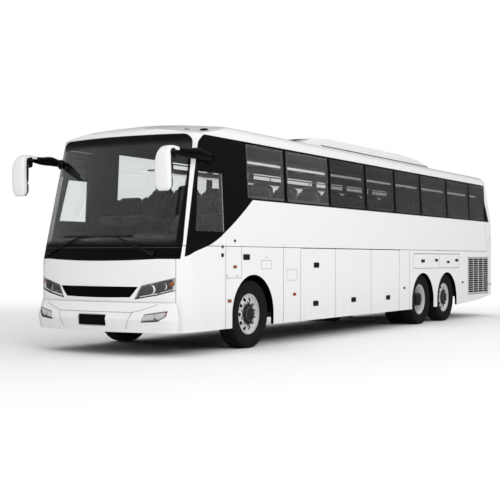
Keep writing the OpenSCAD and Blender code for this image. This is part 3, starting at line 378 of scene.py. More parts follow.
def painted(name, covered=True):
    m, tree, b = finish(name, WHITE, (0.16, 0.24), 1.5, Coat_Weight=0.15, Coat_Roughness=0.04,
                        Specular_IOR_Level=0.3)
    c = blend(tree, place(tree, FILM, Top=1.0, Strength=0.2)["Mask"], WHITE, ROAD_DUST)
    if covered:
        # This mask gives the dark lining inside, and painted shade on panel edges in the gaps.
        trim_and_shade = place(tree, TRIM_AND_GAP_SHADE)["Mask"]
        c = blend(tree, place(tree, BLACKOUT)["Mask"], c, GLOSS_BLACK)
        c = blend(tree, place(tree, SAG)["Mask"], c, GLOSS_BLACK)
        c = blend(tree, trim_and_shade, c, TRIM_AND_SHADE_GREY)
        shine = sums(tree, "MULTIPLY_ADD", trim_and_shade, 0.5, b.inputs["Roughness"].links[0].from_socket)
        tree.links.new(shine, b.inputs["Roughness"])
    tree.links.new(c, b.inputs["Base Color"])
    tree.links.new(place(tree, EDGES, Radius=0.004, Ripple_scale=1.6, Ripple=0.03)["Normal"],
                   b.inputs["Normal"])
    return m


paint = painted("White enamel")
plain_paint = painted("White enamel on mouldings", False)
print("materials:", paint.name, "and", plain_paint.name)

# %% [markdown]
# ### Glass
# A pane is a real 10 mm slab in the frame. A full refraction shader is right for what the eye sees, but it
# would stop the studio light from reaching the seats. So shadow rays see a tinted clear sheet instead of the
# slab. The screen and the door pane also carry a printed black border. It is a mask again, made from
# distances to the edges, and it mixes the glass with gloss black. The rear panes on the driver's side are
# tinted more than the rest.

# %% Printed border
FRIT, ins, outs = new_group("Printed border", {"Value": 0.0, "Low": 0.0, "High": 1.0, "Soft": 0.02}, ["Mask"])
t = FRIT
under = ranged(t, sums(t, "SUBTRACT", ins["Value"], ins["Low"]), 0.0, ins["Soft"], 1.0, 0.0)
over = ranged(t, sums(t, "SUBTRACT", ins["High"], ins["Value"]), 0.0, ins["Soft"], 1.0, 0.0)
put_out(t, outs, Mask=sums(t, "MAXIMUM", under, over))


# %% Rounded edge of the screen: white outside a rectangle with round upper corners and leaning sides
SCREEN_HALF, SCREEN_NARROWS, SCREEN_TOP, SCREEN_CORNER = 1.23, 0.045, 3.03, 0.13
ROUNDED, ins, outs = new_group("Rounded screen edge", {}, ["Mask"])
t = ROUNDED
p = parts_of(t)[1]
half_at = sums(t, "MULTIPLY_ADD", sums(t, "SUBTRACT", p[2], SILL), -SCREEN_NARROWS, SCREEN_HALF)
out_y = sums(t, "SUBTRACT", sums(t, "ABSOLUTE", p[1]), sums(t, "SUBTRACT", half_at, SCREEN_CORNER))
out_z = sums(t, "SUBTRACT", p[2], SCREEN_TOP - SCREEN_CORNER)
reach = sums(t, "SQRT", sums(t, "ADD", sums(t, "POWER", sums(t, "MAXIMUM", out_y, 0.0), 2.0),
                             sums(t, "POWER", sums(t, "MAXIMUM", out_z, 0.0), 2.0)))
put_out(t, outs, Mask=sums(t, "GREATER_THAN", reach, SCREEN_CORNER))


# %% Glass builder
DARK_FROM = FRONT - 2.52    # behind this the panes on the driver's side are tinted more


def glazed(name, tint, shade=0.5, border=(), dark=None, framed=False):
    """Glass; border holds axis, low, high and softness of printed edges, dark is a tint for the rear left."""
    m, tree, b = finish(name, tint, (0.0, 0.012), 6.0, IOR=1.45, Transmission_Weight=1.0)
    b.inputs["Specular IOR Level"].default_value = 0.25
    p = parts_of(tree)[1]
    if dark:
        rear = sums(tree, "LESS_THAN", p[0], DARK_FROM)
        left = sums(tree, "GREATER_THAN", p[1], 0.0)
        tree.links.new(blend(tree, sums(tree, "MULTIPLY", rear, left), tint, dark), b.inputs["Base Color"])
    face = b.outputs[0]
    mask = None
    for axis, lo, hi, soft in border:
        v = sums(tree, "ABSOLUTE", p[1]) if axis == "Y" else p["XYZ".index(axis)]
        one = place(tree, FRIT, Value=v, Low=lo, High=hi, Soft=soft)["Mask"]
        mask = one if mask is None else sums(tree, "MAXIMUM", mask, one)
    path = node(tree, "LightPath")
    clear = node(tree, "BsdfTransparent", {"Color": (shade, shade, shade, 1)}).outputs[0]
    if mask:
        ink = node(tree, "BsdfPrincipled", {"Base Color": (*GLOSS_BLACK, 1), "Roughness": 0.08,
                                            "Specular IOR Level": 0.25}).outputs[0]
        face = mixed(tree, mask, face, ink)
        clear = mixed(tree, mask, clear, ink)
    if framed:
        off_black = sums(tree, "SUBTRACT", 1.0, place(tree, BLACKOUT)["Mask"])
        rim = sums(tree, "MULTIPLY", place(tree, ROUNDED)["Mask"], off_black)
        white = node(tree, "BsdfPrincipled", {"Base Color": (*WHITE, 1), "Roughness": 0.2,
                                              "Specular IOR Level": 0.3}).outputs[0]
        face = mixed(tree, rim, face, white)
        clear = mixed(tree, rim, clear, white)
    surface = mixed(tree, path.outputs["Is Shadow Ray"], face, clear)
    tree.links.new(surface, tree.nodes["Material Output"].inputs["Surface"])
    return m


print("helper: glazed; darker panes behind x", round(DARK_FROM, 2))

# %% Four kinds of glass
screen_border = [("Z", 1.475, 2.98, 0.1), ("Y", -1.0, 1.16, 0.02)]
screen_glass = glazed("Windscreen glass", (0.9, 0.93, 0.93), 0.6, screen_border, framed=True)
side_tint = glazed("Tinted side glass", (0.83, 0.84, 0.84), 0.35, dark=(0.39, 0.398, 0.406))
door_clear = glazed("Door glass", (0.9, 0.92, 0.92), 0.5, [("Z", 1.86, 2.5, 0.02)])
lens_clear = glazed("Clear lamp lens", (0.97, 0.97, 0.97), 0.9)
print("glass:", screen_glass.name, side_tint.name, door_clear.name, lens_clear.name)

# %% [markdown]
# ### The other finishes
# Rubber, cast and polished metal, moulded plastic and woven seat cloth. The cloth's weave is two crossed wave
# textures, which at this distance matters more than single threads.

# %% Plastics, linings and metals
gloss_black = finish("Gloss black plastic", (0.0025, 0.0025, 0.0028), (0.12, 0.2), 5.0,
                     Specular_IOR_Level=0.2)[0]
matt_black = grained(*finish("Matt black plastic", (0.009, 0.009, 0.0095), (0.5, 0.7), 8.0, 0.2), 220.0, 0.4)
chassis = grained(*finish("Chassis black", (0.018, 0.018, 0.018), (0.5, 0.75), 5.0, 0.35), 60.0, 0.2)
# Black felt for the arches; the same finish also gives the painted shade over the hand holes and behind the
# radiator fins.
felt_and_shade_black = grained(*finish("Wheel-arch felt and painted shade", (0.004, 0.004, 0.004), (0.8, 0.95), 12.0, 0.3,
                        Specular_IOR_Level=0.05), 160.0, 0.6)
cast = grained(*finish("Cast engine iron", (0.2, 0.2, 0.2), (0.5, 0.7), 6.0, 0.2, Metallic=0.6), 90.0, 0.4)
floor_sheet = grained(*finish("Floor sheet", (0.1, 0.1, 0.105), (0.6, 0.8), 5.0, 0.2), 250.0, 0.3)
steel = finish("Drawn steel", (0.55, 0.55, 0.56), (0.25, 0.4), 20.0, 0.1, Metallic=1.0)[0]
alloy = finish("Polished aluminium", (0.8, 0.8, 0.81), (0.24, 0.36), 9.0, 0.06, Metallic=0.3)[0]
# The reflector's faint glow is a painted reflection: it keeps the metal bright under the dim surround.
reflector_painted_glow = finish("Reflector with painted glow", (0.86, 0.86, 0.87), (0.12, 0.2), 12.0, 0.04, Metallic=0.15,
                Emission_Color=(0.8, 0.8, 0.82, 1), Emission_Strength=0.3)[0]
cast_alloy = grained(*finish("Hub casting", (0.06, 0.06, 0.062), (0.35, 0.5), 14.0, 0.15, Metallic=0.7),
                     120.0, 0.2)
nickel = finish("Bright nickel", (0.6, 0.6, 0.61), (0.15, 0.3), 30.0, 0.1, Metallic=1.0)[0]
lamp_bowl = finish("Smoked lamp bowl", (0.1, 0.1, 0.103), (0.15, 0.25), 9.0, 0.1, Metallic=0.4)[0]
mirror_silver = finish("Mirror silver", (0.75, 0.77, 0.78), (0.02, 0.04), 5.0, Metallic=1.0)[0]
grey_plastic = grained(*finish("Grey plastic", (0.3, 0.3, 0.31), (0.35, 0.5), 8.0, 0.08), 240.0, 0.2)
louvre_paint = finish("Louvre silver", (0.74, 0.74, 0.74), (0.3, 0.42), 6.0, 0.06, Metallic=0.3)[0]
rack_plastic = finish("Rack plastic", (0.09, 0.09, 0.092), (0.35, 0.45), 4.0, 0.06)[0]
dash_plastic = grained(*finish("Dash plastic", (0.012, 0.012, 0.013), (0.45, 0.6), 6.0, 0.15), 260.0, 0.3)
print(len(bpy.data.materials), "materials so far")


# %% Lamp lenses
def lens(name, color):
    m, tree, b = finish(name, color, (0.08, 0.16), 20.0, 0.15, Coat_Weight=0.6, Subsurface_Weight=0.2)
    where = here(tree)
    ribs = node(tree, "TexWave", {"Vector": where, "Scale": 40.0}).outputs["Fac"]
    bump = node(tree, "Bump", {"Strength": 0.5, "Distance": 0.003, "Height": ribs})
    tree.links.new(bump.outputs[0], b.inputs["Normal"])
    return m


amber = lens("Amber lens", (0.4, 0.11, 0.025))
red = lens("Red lens", (0.5, 0.008, 0.008))
print("lenses:", amber.name, "and", red.name)

# %% Rubber and cloth
rubber = grained(*finish("Tyre rubber", (0.009, 0.009, 0.0095), (0.62, 0.8), 7.0, 0.3), 180.0, 0.25)


def woven(name, dark, light):
    m, tree, b = finish(name, dark, (0.85, 0.95), 10.0, Sheen_Weight=0.3)
    where = here(tree)
    warp = node(tree, "TexWave", {"Vector": where, "Scale": 60.0}, bands_direction="Y").outputs["Fac"]
    weft = node(tree, "TexWave", {"Vector": where, "Scale": 60.0}, bands_direction="Z").outputs["Fac"]
    cross = sums(tree, "MULTIPLY", warp, weft)
    tree.links.new(blend(tree, cross, dark, light), b.inputs["Base Color"])
    bump = node(tree, "Bump", {"Strength": 0.25, "Distance": 0.002, "Height": cross})
    tree.links.new(bump.outputs[0], b.inputs["Normal"])
    return m


seat_cloth = woven("Cushion cloth", (0.012, 0.012, 0.014), (0.022, 0.023, 0.026))
head_cloth = woven("Headrest cloth", (0.01, 0.01, 0.012), (0.022, 0.022, 0.025))
print(len(bpy.data.materials), "materials so far")

# %% Hand the finishes to the CAD nodes
SLOTS = {"body_paint": paint, "chassis_black": chassis, "engine_grey": cast, "floor_grey": floor_sheet,
         "hinge_steel": steel, "louvre_grey": louvre_paint, "black_plastic": gloss_black,
         "liner_black": felt_and_shade_black, "dash_plastic": dash_plastic, "seat_fabric": seat_cloth,
         "rack_plastic": rack_plastic, "lamp_bright": lamp_bowl, "amber_lens": amber, "red_lens": red,
         "clear_glass": screen_glass, "tinted_glass": side_tint, "door_glass": door_clear, "tyre": rubber,
         "rim_alloy": alloy}
for sub in frame["record"]["subparts"]:
    ob = NODES[sub["node"]]
    ob.data.materials.clear()
    ob.data.materials.append(SLOTS["door_glass" if sub["node"] == "door_glass" else sub["material_slot"]])
print("finishes given to", len(NODES), "nodes")

# %% [markdown]
# ## Smooth shading on the frame
# The frame's curved panels are made of narrow flat facets. Three modifiers smooth the shading without moving
# a vertex: Weld joins the doubled points, Edge Split keeps real edges sharp, and Weighted Normal keeps big
# flats flat.

# %% Smooth shading
SMOOTH_BELOW = math.radians(24)
for name, ob in NODES.items():
    ob.data.polygons.foreach_set("use_smooth", [True] * len(ob.data.polygons))
    if "custom_normal" in ob.data.attributes:
        ob.data.attributes.remove(ob.data.attributes["custom_normal"])
    ob.modifiers.new("join", "WELD").merge_threshold = 0.00002
    split = ob.modifiers.new("keep edges", "EDGE_SPLIT")
    split.split_angle = SMOOTH_BELOW
    weigh = ob.modifiers.new("flats", "WEIGHTED_NORMAL")
    weigh.keep_sharp = True
print("smoothed", len(NODES), "nodes")

# %% [markdown]
# ## Tyres
# A coach tyre has a flat tread with straight grooves, open shoulder slots and a bulging sidewall with fine
# rings. A lathe could only give the rings. So the section is turned by hand in code: each ring of points can
# then dip at every few steps, which opens the shoulder slots, and the dips at both shoulders are staggered as
# on a real tyre.

# %% Tyre section, as radius and distance from the middle of the tread
TYRE_W, BEAD_R = 0.29, 0.3
GROOVE, GROOVE_W, SLOT_DEPTH = 0.013, 0.006, 0.011
half = [(BEAD_R, 0.104), (0.312, 0.121), (0.33, 0.129), (0.335, 0.1325), (0.341, 0.1325), (0.346, 0.1345),
        (0.385, 0.1435), (0.41, 0.145), (0.43, 0.1445), (0.434, 0.1462), (0.44, 0.1462), (0.444, 0.143),
        (0.466, 0.1405), (0.484, 0.136), (0.4945, 0.125), (TYRE_R - 0.0008, 0.108)]
tread = []
for y in (0.072, 0.026):
    tread += [(TYRE_R, y + GROOVE_W), (TYRE_R - GROOVE, y + GROOVE_W / 2),
              (TYRE_R - GROOVE, y - GROOVE_W / 2), (TYRE_R, y - GROOVE_W)]
section = half + tread + [(r, -y) for r, y in tread[::-1]] + [(r, -y) for r, y in half[::-1]]
SHOULDER_Y, SHOULDER_R = 0.1, 0.48
SHOULDER = {i for i, (r, y) in enumerate(section) if abs(y) > SHOULDER_Y and r > SHOULDER_R}
print("section of", len(section), "points")

# %% Tyres
STEPS, SLOT_EVERY = 144, 4


def treaded(c, side):
    rows = []
    for i, (r, y) in enumerate(section):
        row = []
        for j in range(STEPS):
            stagger = SLOT_EVERY // 2 if y < 0 else 0
            dip = SLOT_DEPTH if i in SHOULDER and (j + stagger) % SLOT_EVERY == 0 else 0.0
            a = 2 * math.pi * (j + 0.5 * (dip > 0)) / STEPS
            row.append(Vector(c) + Vector(((r - dip) * math.cos(a), side * y, (r - dip) * math.sin(a))))
        rows.append(row)
    rows.append(rows[0])
    v, f = grid(rows, True)
    return v, (f[::-1] if side < 0 else f)


WHEELS = {"fl": ("wheel_fl", 1), "fr": ("wheel_fr", -1), "dl": ("wheel_dl", 1), "dr": ("wheel_dr", -1),
          "tl": ("wheel_tl", 1), "tr": ("wheel_tr", -1)}
TWIN_SPACE = 0.044           # between the two tyres of a twin wheel
HUB_Y, TWIN_IN = high("tyre_fl").y - TYRE_W / 2, TYRE_W + TWIN_SPACE
for key, (body, side) in WHEELS.items():
    x = mid("tyre_" + key).x
    places = [HUB_Y] + ([HUB_Y - TWIN_IN] if key[0] == "d" else [])
    turned = [treaded((x, side * y, TYRE_R), side) for y in places]
    ob = mesh("road_tyre_" + key, *joined(turned), rubber, body, smooth=False)
    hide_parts("tyre_" + key)
print("tyres with", len(section), "rings of", STEPS, "points")

# %% [markdown]
# ## Wheel nuts and hub caps
# The polished discs are in the frame. What is bolted on comes here: ten nuts on a ring, a stepped cap with
# small bolts on the hub, and a valve. Nuts are six-sided, with a flange under them, so the light breaks on
# them as it does on the real ones. A dark oval over each hand hole of the disc is painted shade: it stands
# for the dark inside the opening. Twin wheels have their disc turned inwards, so the end of the drive axle
# stands out of it with its own ring of bolts.

# %% Turned and swept shapes
def lathe(profile, c, n=48, side=1):
    """Turns (radius, out) pairs about the Y axis through c; side -1 mirrors it for the right-hand wheels."""
    rows = [[Vector(c) + Vector((r * math.cos(2 * math.pi * j / n), side * y,
                                 r * math.sin(2 * math.pi * j / n)))
             for j in range(n)] for r, y in profile]
    v, f = grid(rows, True)
    return v, (f if side > 0 else [q[::-1] for q in f])


def swept(points, radii, n=12):
    """A tube through points; radii are (half height, half width) pairs."""
    rows = []
    for i, p in enumerate(points):
        p = Vector(p)
        t = (Vector(points[min(i + 1, len(points) - 1)]) - Vector(points[max(i - 1, 0)])).normalized()
        side = t.cross(Vector((0, 0, 1)))
        side = side.normalized() if side.length > 0.2 else Vector((0, 1, 0))
        up = side.cross(t)
        h, w = radii[i]
        rows.append([p + up * h * math.sin(2 * math.pi * j / n) + side * w * math.cos(2 * math.pi * j / n)
                     for j in range(n)])
    v, f = grid(rows, True)
    return v, f + [list(range(n))[::-1], [len(v) - n + j for j in range(n)]]


print("helpers: lathe, swept")

# %% Nuts, and painted shade over the hand holes
NUTS, NUT_RING, NUT_R, NUT_H = 10, 0.168, 0.0165, 0.026
HOLE_RING, HOLE_R, HOLE_LONG, HOLE_PROUD = 0.2233, 0.029, 1.12, 0.0008
CONE_R, CONE_FOOT, CONE_SLOPE = 0.2398, 0.0058, 0.484      # the disc rises towards the hub on a cone
POINT = 0.0001              # the radius at which a turned shape closes


def hexagon(c, side, r, h):
    wide = r * 1.35
    return lathe([(POINT, 0), (wide, 0), (wide, h * 0.22), (r, h * 0.25), (r * 0.96, h), (r * 0.5, h * 1.18),
                  (POINT, h * 1.2)], c, 6, side)


def bolt_ring(x, y, side, ring, count, r, h, start=0.0):
    """Six-sided heads on a ring round the axis of a wheel at x; start is a share of one step."""
    turns = [2 * math.pi * (i + start) / count for i in range(count)]
    return [hexagon((x + ring * math.cos(a), y, TYRE_R + ring * math.sin(a)), side, r, h) for a in turns]


def hole_shade_oval(x, y, turn, side, n=20):
    """A dark oval of painted shade on the cone of the disc, round one of its openings."""
    pts = []
    for k in range(n):
        a = 2 * math.pi * k / n
        r, t = HOLE_RING + HOLE_R * HOLE_LONG * math.cos(a), HOLE_R * math.sin(a) / HOLE_RING
        out = CONE_FOOT + (CONE_R - r) * CONE_SLOPE + HOLE_PROUD
        pts.append(Vector((x + r * math.cos(turn + t), y + side * out, TYRE_R + r * math.sin(turn + t))))
    return pts, [list(range(n))[::-side]]


print("helpers: hexagon, bolt_ring, hole_shade_oval")

# %% Nuts, caps, axle ends and valves on every wheel
CONVEX, FACE_UP, HUB_UP = 0.058, 0.029, 0.042
CAP_BOLTS = (0.131, 8, 0.008, 0.009)        # ring, number, radius and height of the heads
AXLE_BOLTS = (0.113, 10, 0.0075, 0.012)
CAP_BOLTS_UP, AXLE_BOLTS_UP = 0.004, 0.113
CAP = [(0.15, -0.0189), (0.15, 0.004), (0.112, 0.005), (0.1065, 0.01), (0.1065, 0.024), (0.0985, 0.031),
       (0.08, 0.032), (0.075, 0.029), (0.05, 0.029), (0.046, 0.034), (0.03, 0.037), (POINT, 0.038)]
AXLE_END = [(0.118, 0.003), (0.118, 0.085), (0.128, 0.09), (0.128, 0.112), (0.1, 0.116), (0.085, 0.13),
            (0.05, 0.136), (POINT, 0.137)]
VALVE_RING, VALVE_TURN, VALVE_R = 0.262, 0.31, 0.005
for key, (body, side) in WHEELS.items():
    twin = key[0] == "d"
    x = mid("tyre_" + key).x
    base = side * (HUB_Y + (-CONVEX if twin else CONVEX))
    hub = base + side * HUB_UP
    nuts = bolt_ring(x, base + side * FACE_UP, side, NUT_RING, NUTS, NUT_R, NUT_H, 0.5)
    mesh("wheel_nuts_" + key, *joined(nuts), nickel, body, smooth=False)
    # Each hand hole gets a dark oval of painted shade.
    hole_shades = [hole_shade_oval(x, base, 2 * math.pi * i / NUTS, side) for i in range(NUTS)]
    mesh("hand_hole_shade_" + key, *joined(hole_shades), felt_and_shade_black, body, smooth=False)
    cap_bolts = bolt_ring(x, hub + side * CAP_BOLTS_UP, side, *CAP_BOLTS)
    mesh("hub_cap_" + key, *joined([lathe(CAP, (x, hub, TYRE_R), 48, side)] + cap_bolts), cast_alloy, body)
    if twin:
        studs = bolt_ring(x, hub + side * AXLE_BOLTS_UP, side, *AXLE_BOLTS)
        mesh("axle_end_" + key, *joined([lathe(AXLE_END, (x, hub, TYRE_R), 48, side)] + studs), cast_alloy,
             body)
    valve_x, valve_z = x + VALVE_RING * math.cos(VALVE_TURN), TYRE_R + VALVE_RING * math.sin(VALVE_TURN)
    stem = [(valve_x, base + side * d, valve_z) for d in (-0.02, 0.02, 0.05)]
    mesh("valve_" + key, *swept(stem, [(VALVE_R, VALVE_R)] * len(stem), 8), nickel, body)
print("nuts and caps on", len(WHEELS), "wheels")

# %% [markdown]
# ## Mirrors
# The coach carries its mirrors like ears: a black arm leaves the pillar, and a white shell bends from it down
# into a hanging head with black backing and two mirror panes that look rearwards. The bend is one smooth
# sweep of a soft section along a path, with the section's size given at each point. A box with bevels would
# never bend like that.

# %% Soft shapes and smooth paths
def pillow(c, s, turn=None, power=0.4, n=16, m=10):
    """A box with soft, bulging sides."""
    def soft(v):
        return math.copysign(abs(v) ** power, v)
    rows = []
    for i in range(m + 1):
        b = math.pi * (i / m - 0.5)
        row = []
        for j in range(n):
            a = 2 * math.pi * j / n
            p = Vector((s[0] / 2 * soft(math.cos(b)) * soft(math.cos(a)),
                        s[1] / 2 * soft(math.cos(b)) * soft(math.sin(a)), s[2] / 2 * soft(math.sin(b))))
            row.append(Vector(c) + (turn @ p if turn else p))
        rows.append(row)
    return grid(rows, True)


def eased(points, n):
    """A smooth path (Catmull-Rom) through points of any size."""
    out = []
    for i in range(len(points) - 1):
        a, b, c, d = (Vector(points[k]) for k in (max(i - 1, 0), i, i + 1, min(i + 2, len(points) - 1)))
        for j in range(n):
            u = j / n
            square, cube = 2 * a - 5 * b + 4 * c - d, 3 * b - a - 3 * c + d
            out.append(0.5 * (2 * b + (c - a) * u + square * u * u + cube * u ** 3))
    return out + [Vector(points[-1])]


def ear(path, sizes, y, flat=0.55, n=20):
    """Sweeps a soft rectangle along an X-Z path at one Y; sizes are (half depth, half width)."""
    rows = []
    for i, p in enumerate(path):
        q = (path[min(i + 1, len(path) - 1)] - path[max(i - 1, 0)]).normalized()
        out = Vector((-q.z, 0, q.x))
        d, w = sizes[i]
        row = []
        for j in range(n):
            a = 2 * math.pi * j / n
            c, s = math.cos(a), math.sin(a)
            row.append(Vector((p.x, y, p.z)) + out * d * math.copysign(abs(c) ** flat, c)
                       + Vector((0, w * math.copysign(abs(s) ** flat, s), 0)))
        rows.append(row)
    v, f = grid(rows, True)
    return v, f + [list(range(n))[::-1], [len(v) - n + j for j in range(n)]]


def side_y(z):
    """The half width of the leaning side at height z."""
    lean0, lean1, tumble = 1.6, 3.042, 0.073
    return HALF_W - max(0.0, z - lean0) / (lean1 - lean0) * tumble


print("helpers: pillow, eased, ear, side_y")

# %% Path and width of a mirror's head
MIRROR_Y, FAR_CLOSER = 1.285, 0.045         # the mirror on the far side hangs a little closer to the coach
MIRROR_X, MIRROR_TOP, MIRROR_LOW = high("mirror_heads").x, high("mirror_heads").z, low("mirror_heads").z
hx = MIRROR_X - 0.07
HEAD = [(hx - 0.31, 0, MIRROR_TOP - 0.03), (hx - 0.16, 0, MIRROR_TOP - 0.028),
        (hx - 0.04, 0, MIRROR_TOP - 0.07), (hx + 0.01, 0, MIRROR_TOP - 0.18),
        (hx + 0.012, 0, MIRROR_TOP - 0.36), (hx - 0.002, 0, MIRROR_LOW + 0.06),
        (hx - 0.012, 0, MIRROR_LOW + 0.004)]
WIDE = [(0.026, 0.034, 0), (0.032, 0.05, 0), (0.046, 0.078, 0), (0.05, 0.108, 0), (0.05, 0.118, 0),
        (0.044, 0.112, 0), (0.012, 0.075, 0)]
SMOOTH = 7
path, wide = eased(HEAD, SMOOTH), eased(WIDE, SMOOTH)
print("head of", len(path), "sections")

# %% Mirrors
ARM_Z = 2.72                # height at which the arm leaves the pillar
ARM_ROOT, ARM_ROOT_FAR = 1.09, 1.34
ARM_SIZES = [(0.05, 0.03), (0.062, 0.036), (0.078, 0.036), (0.066, 0.034), (0.044, 0.03)]
ARM_STEPS, FAR_SLIMMER = 6, 0.86
mirror_shells, mirror_backs, mirror_panes, arms = [], [], [], []
for side in (1, -1):
    near = side > 0
    y = side * (MIRROR_Y if near else MIRROR_Y - FAR_CLOSER)
    mirror_shells.append(ear(path, [(w.x, w.y) for w in wide], y))
    behind = [p + Vector((-0.03, 0, -0.012 if i < SMOOTH * 2 else 0)) for i, p in enumerate(path)][SMOOTH:-2]
    mirror_backs.append(ear(behind, [(w.x * 0.8, w.y * 0.93) for w in wide][SMOOTH:-2], y))
    for z0, z1 in ((MIRROR_LOW + 0.2, MIRROR_TOP - 0.14), (MIRROR_LOW + 0.05, MIRROR_LOW + 0.185)):
        mirror_panes.append(pillow((hx - 0.071, y, (z0 + z1) / 2), (0.012, 0.19, z1 - z0), power=0.25))
    root_x = FRONT + (ARM_ROOT if near else ARM_ROOT_FAR)
    skin_y = side_y(ARM_Z) - (0.0 if near else 0.03)
    end_x = hx - 0.2
    reach_x = end_x - root_x
    arm = eased([(root_x - 0.03, side * (skin_y - 0.01), ARM_Z - 0.005),
                 (root_x + 0.08, side * (skin_y + 0.03), ARM_Z + 0.002),
                 (root_x + reach_x * 0.35, y, ARM_Z + 0.018),
                 (root_x + reach_x * 0.65, y, MIRROR_TOP - 0.062), (end_x, y, MIRROR_TOP - 0.052)], ARM_STEPS)
    slim = 1.0 if near else FAR_SLIMMER
    high_low = eased([(slim * h, w, 0) for h, w in ARM_SIZES], ARM_STEPS)
    arms.append(swept(arm, [(h.x, h.y) for h in high_low], 16))
    arms.append(pillow((root_x - 0.005, side * (skin_y + 0.012), ARM_Z - 0.015), (0.2, 0.05, 0.15),
                       power=0.5))
    arms.append(pillow((hx - 0.15, y, MIRROR_TOP - 0.12), (0.16, 0.09, 0.12), power=0.6))
shell_ob = mesh("mirror_shells", *joined(mirror_shells), plain_paint)
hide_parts("mirror_heads")
mesh("mirror_backs", *joined(mirror_backs), matt_black)
mesh("mirror_panes", *joined(mirror_panes), mirror_silver)
arm_ob = mesh("mirror_stalks", *joined(arms), gloss_black)
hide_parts("mirror_arms")
print("mirrors from z", round(MIRROR_LOW, 3), "to", round(MIRROR_TOP, 3))

# %% [markdown]
# ## Wipers
# Two pantograph wipers lie low on the glass. Their blades follow the curved screen, so each point along them
# is found by a ray cast at the glass. Each arm has its pivot in the black panel below and bows a little off
# the glass on its way to the blade.

# %% The skin under a point
SCREEN = ["windscreen", "front_trim"]


def skin(nodes, y, z, x=9.0, toward=-1):
    """Where a ray along X from x first meets one of the named CAD nodes, and the skin's direction there."""
    best = None
    for name in nodes:
        hit, p, n, _ = NODES[name].ray_cast(Vector((x, y, z)), Vector((toward, 0, 0)))
        if hit and (best is None or (p.x - best[0].x) * toward < 0):
            best = (p, n)
    return best


def on_screen(y, z, proud):
    """A point that stands proud of the screen by so much."""
    return Vector((skin(SCREEN, y, z)[0].x + proud, y, z))


print("middle of the screen at x", round(on_screen(0, BAND_LOW, 0).x, 3))

# %% Wipers
BLADE_Z, PIVOT_Z = 1.62, 1.386
BLADE_STEPS, ARM_PARTS, TWIN_ARM = 12, 8, 0.05


def strip_on(points, half_h, half_w):
    return swept(points, [(half_h, half_w)] * len(points), 8)


wipers, grips = [], []
for y0, y1, yp, yg in ((-0.725, 0.0, -1.02, -0.337), (0.557, 0.03, 0.868, 0.298)):
    ys = [y0 + (y1 - y0) * i / BLADE_STEPS for i in range(BLADE_STEPS + 1)]
    wipers.append(strip_on([on_screen(y, BLADE_Z, 0.006) for y in ys], 0.009, 0.006))
    wipers.append(strip_on([on_screen(y, BLADE_Z + 0.004, 0.017) for y in ys[1:-1]], 0.006, 0.004))
    shares = [i / ARM_PARTS for i in range(ARM_PARTS + 1)]
    line = [(yp + (yg - yp) * s, PIVOT_Z + (BLADE_Z - PIVOT_Z) * s) for s in shares]
    lifted = [on_screen(y, z, 0.018 + 0.012 * math.sin(math.pi * s)) for s, (y, z) in zip(shares, line)]
    wipers.append(strip_on(lifted, 0.011, 0.007))
    off = TWIN_ARM if yp < 0 else -TWIN_ARM
    wipers.append(strip_on([on_screen(y + off, z, 0.02) for y, z in line[:-1]], 0.006, 0.005))
    grips.append(pillow(on_screen(yp, PIVOT_Z, 0.02), (0.05, 0.075, 0.06), power=0.6))
    grips.append(pillow(on_screen(yp + off, PIVOT_Z, 0.016), (0.036, 0.045, 0.045), power=0.6))
    grips.append(pillow(on_screen(yg, BLADE_Z, 0.024), (0.022, 0.07, 0.026), power=0.5))
wiper_ob = mesh("wiper_blades_arms", *joined(wipers + grips), matt_black)
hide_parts("wipers")
print("two wipers on the screen")

# %% [markdown]
# ## Lamps at the front
# A headlamp is a smoked bowl behind a clear cover that continues the skin of the nose. In it stand two
# projectors, each a bright ring round a glass ball, an amber indicator at the outer end and a bright lower
# strip. The rings and the strip glow faintly, and that glow is a painted reflection. The cover is the only
# hard part: it has to lie in the hole of a curved panel. The nose is an arc with rounded corners, so the
# cover is a grid over the lamp's outline, and each of its points is set on that arc.

# %% Nose surface and outlines of the lamps
HALF_BODY = 1.295
NOSE_R, CORNER_R, CORNER_BACK = 3.6, 0.35, 0.4903
MASK_X = high("front_mask").x
LAMP_TOP = [(0.6216, 0.764), (0.7187, 0.9506), (1.2497, 1.0758)]
LAMP_LOW = [(0.6216, 0.764), (0.9518, 0.8223), (1.1979, 0.8905), (1.2497, 1.0)]
FOG_TOP = [(0.777, 0.4615), (0.8159, 0.572), (1.1202, 0.6208)]
FOG_LOW = [(0.777, 0.4615), (1.0231, 0.481), (1.1137, 0.546), (1.1202, 0.6208)]


def nose(y, front):
    y = abs(y)
    if y < HALF_BODY - CORNER_R - 0.004:
        return front - NOSE_R + math.sqrt(NOSE_R ** 2 - y * y)
    return front - CORNER_BACK + math.sqrt(CORNER_R ** 2 - (y - HALF_BODY + CORNER_R) ** 2)


def along(chain, y):
    for (y0, z0), (y1, z1) in zip(chain, chain[1:]):
        if y <= y1:
            return z0 + (z1 - z0) * (y - y0) / (y1 - y0)
    return chain[-1][1]


print("nose from x", round(nose(0, MASK_X), 3), "to", round(nose(HALF_BODY, MASK_X), 3))


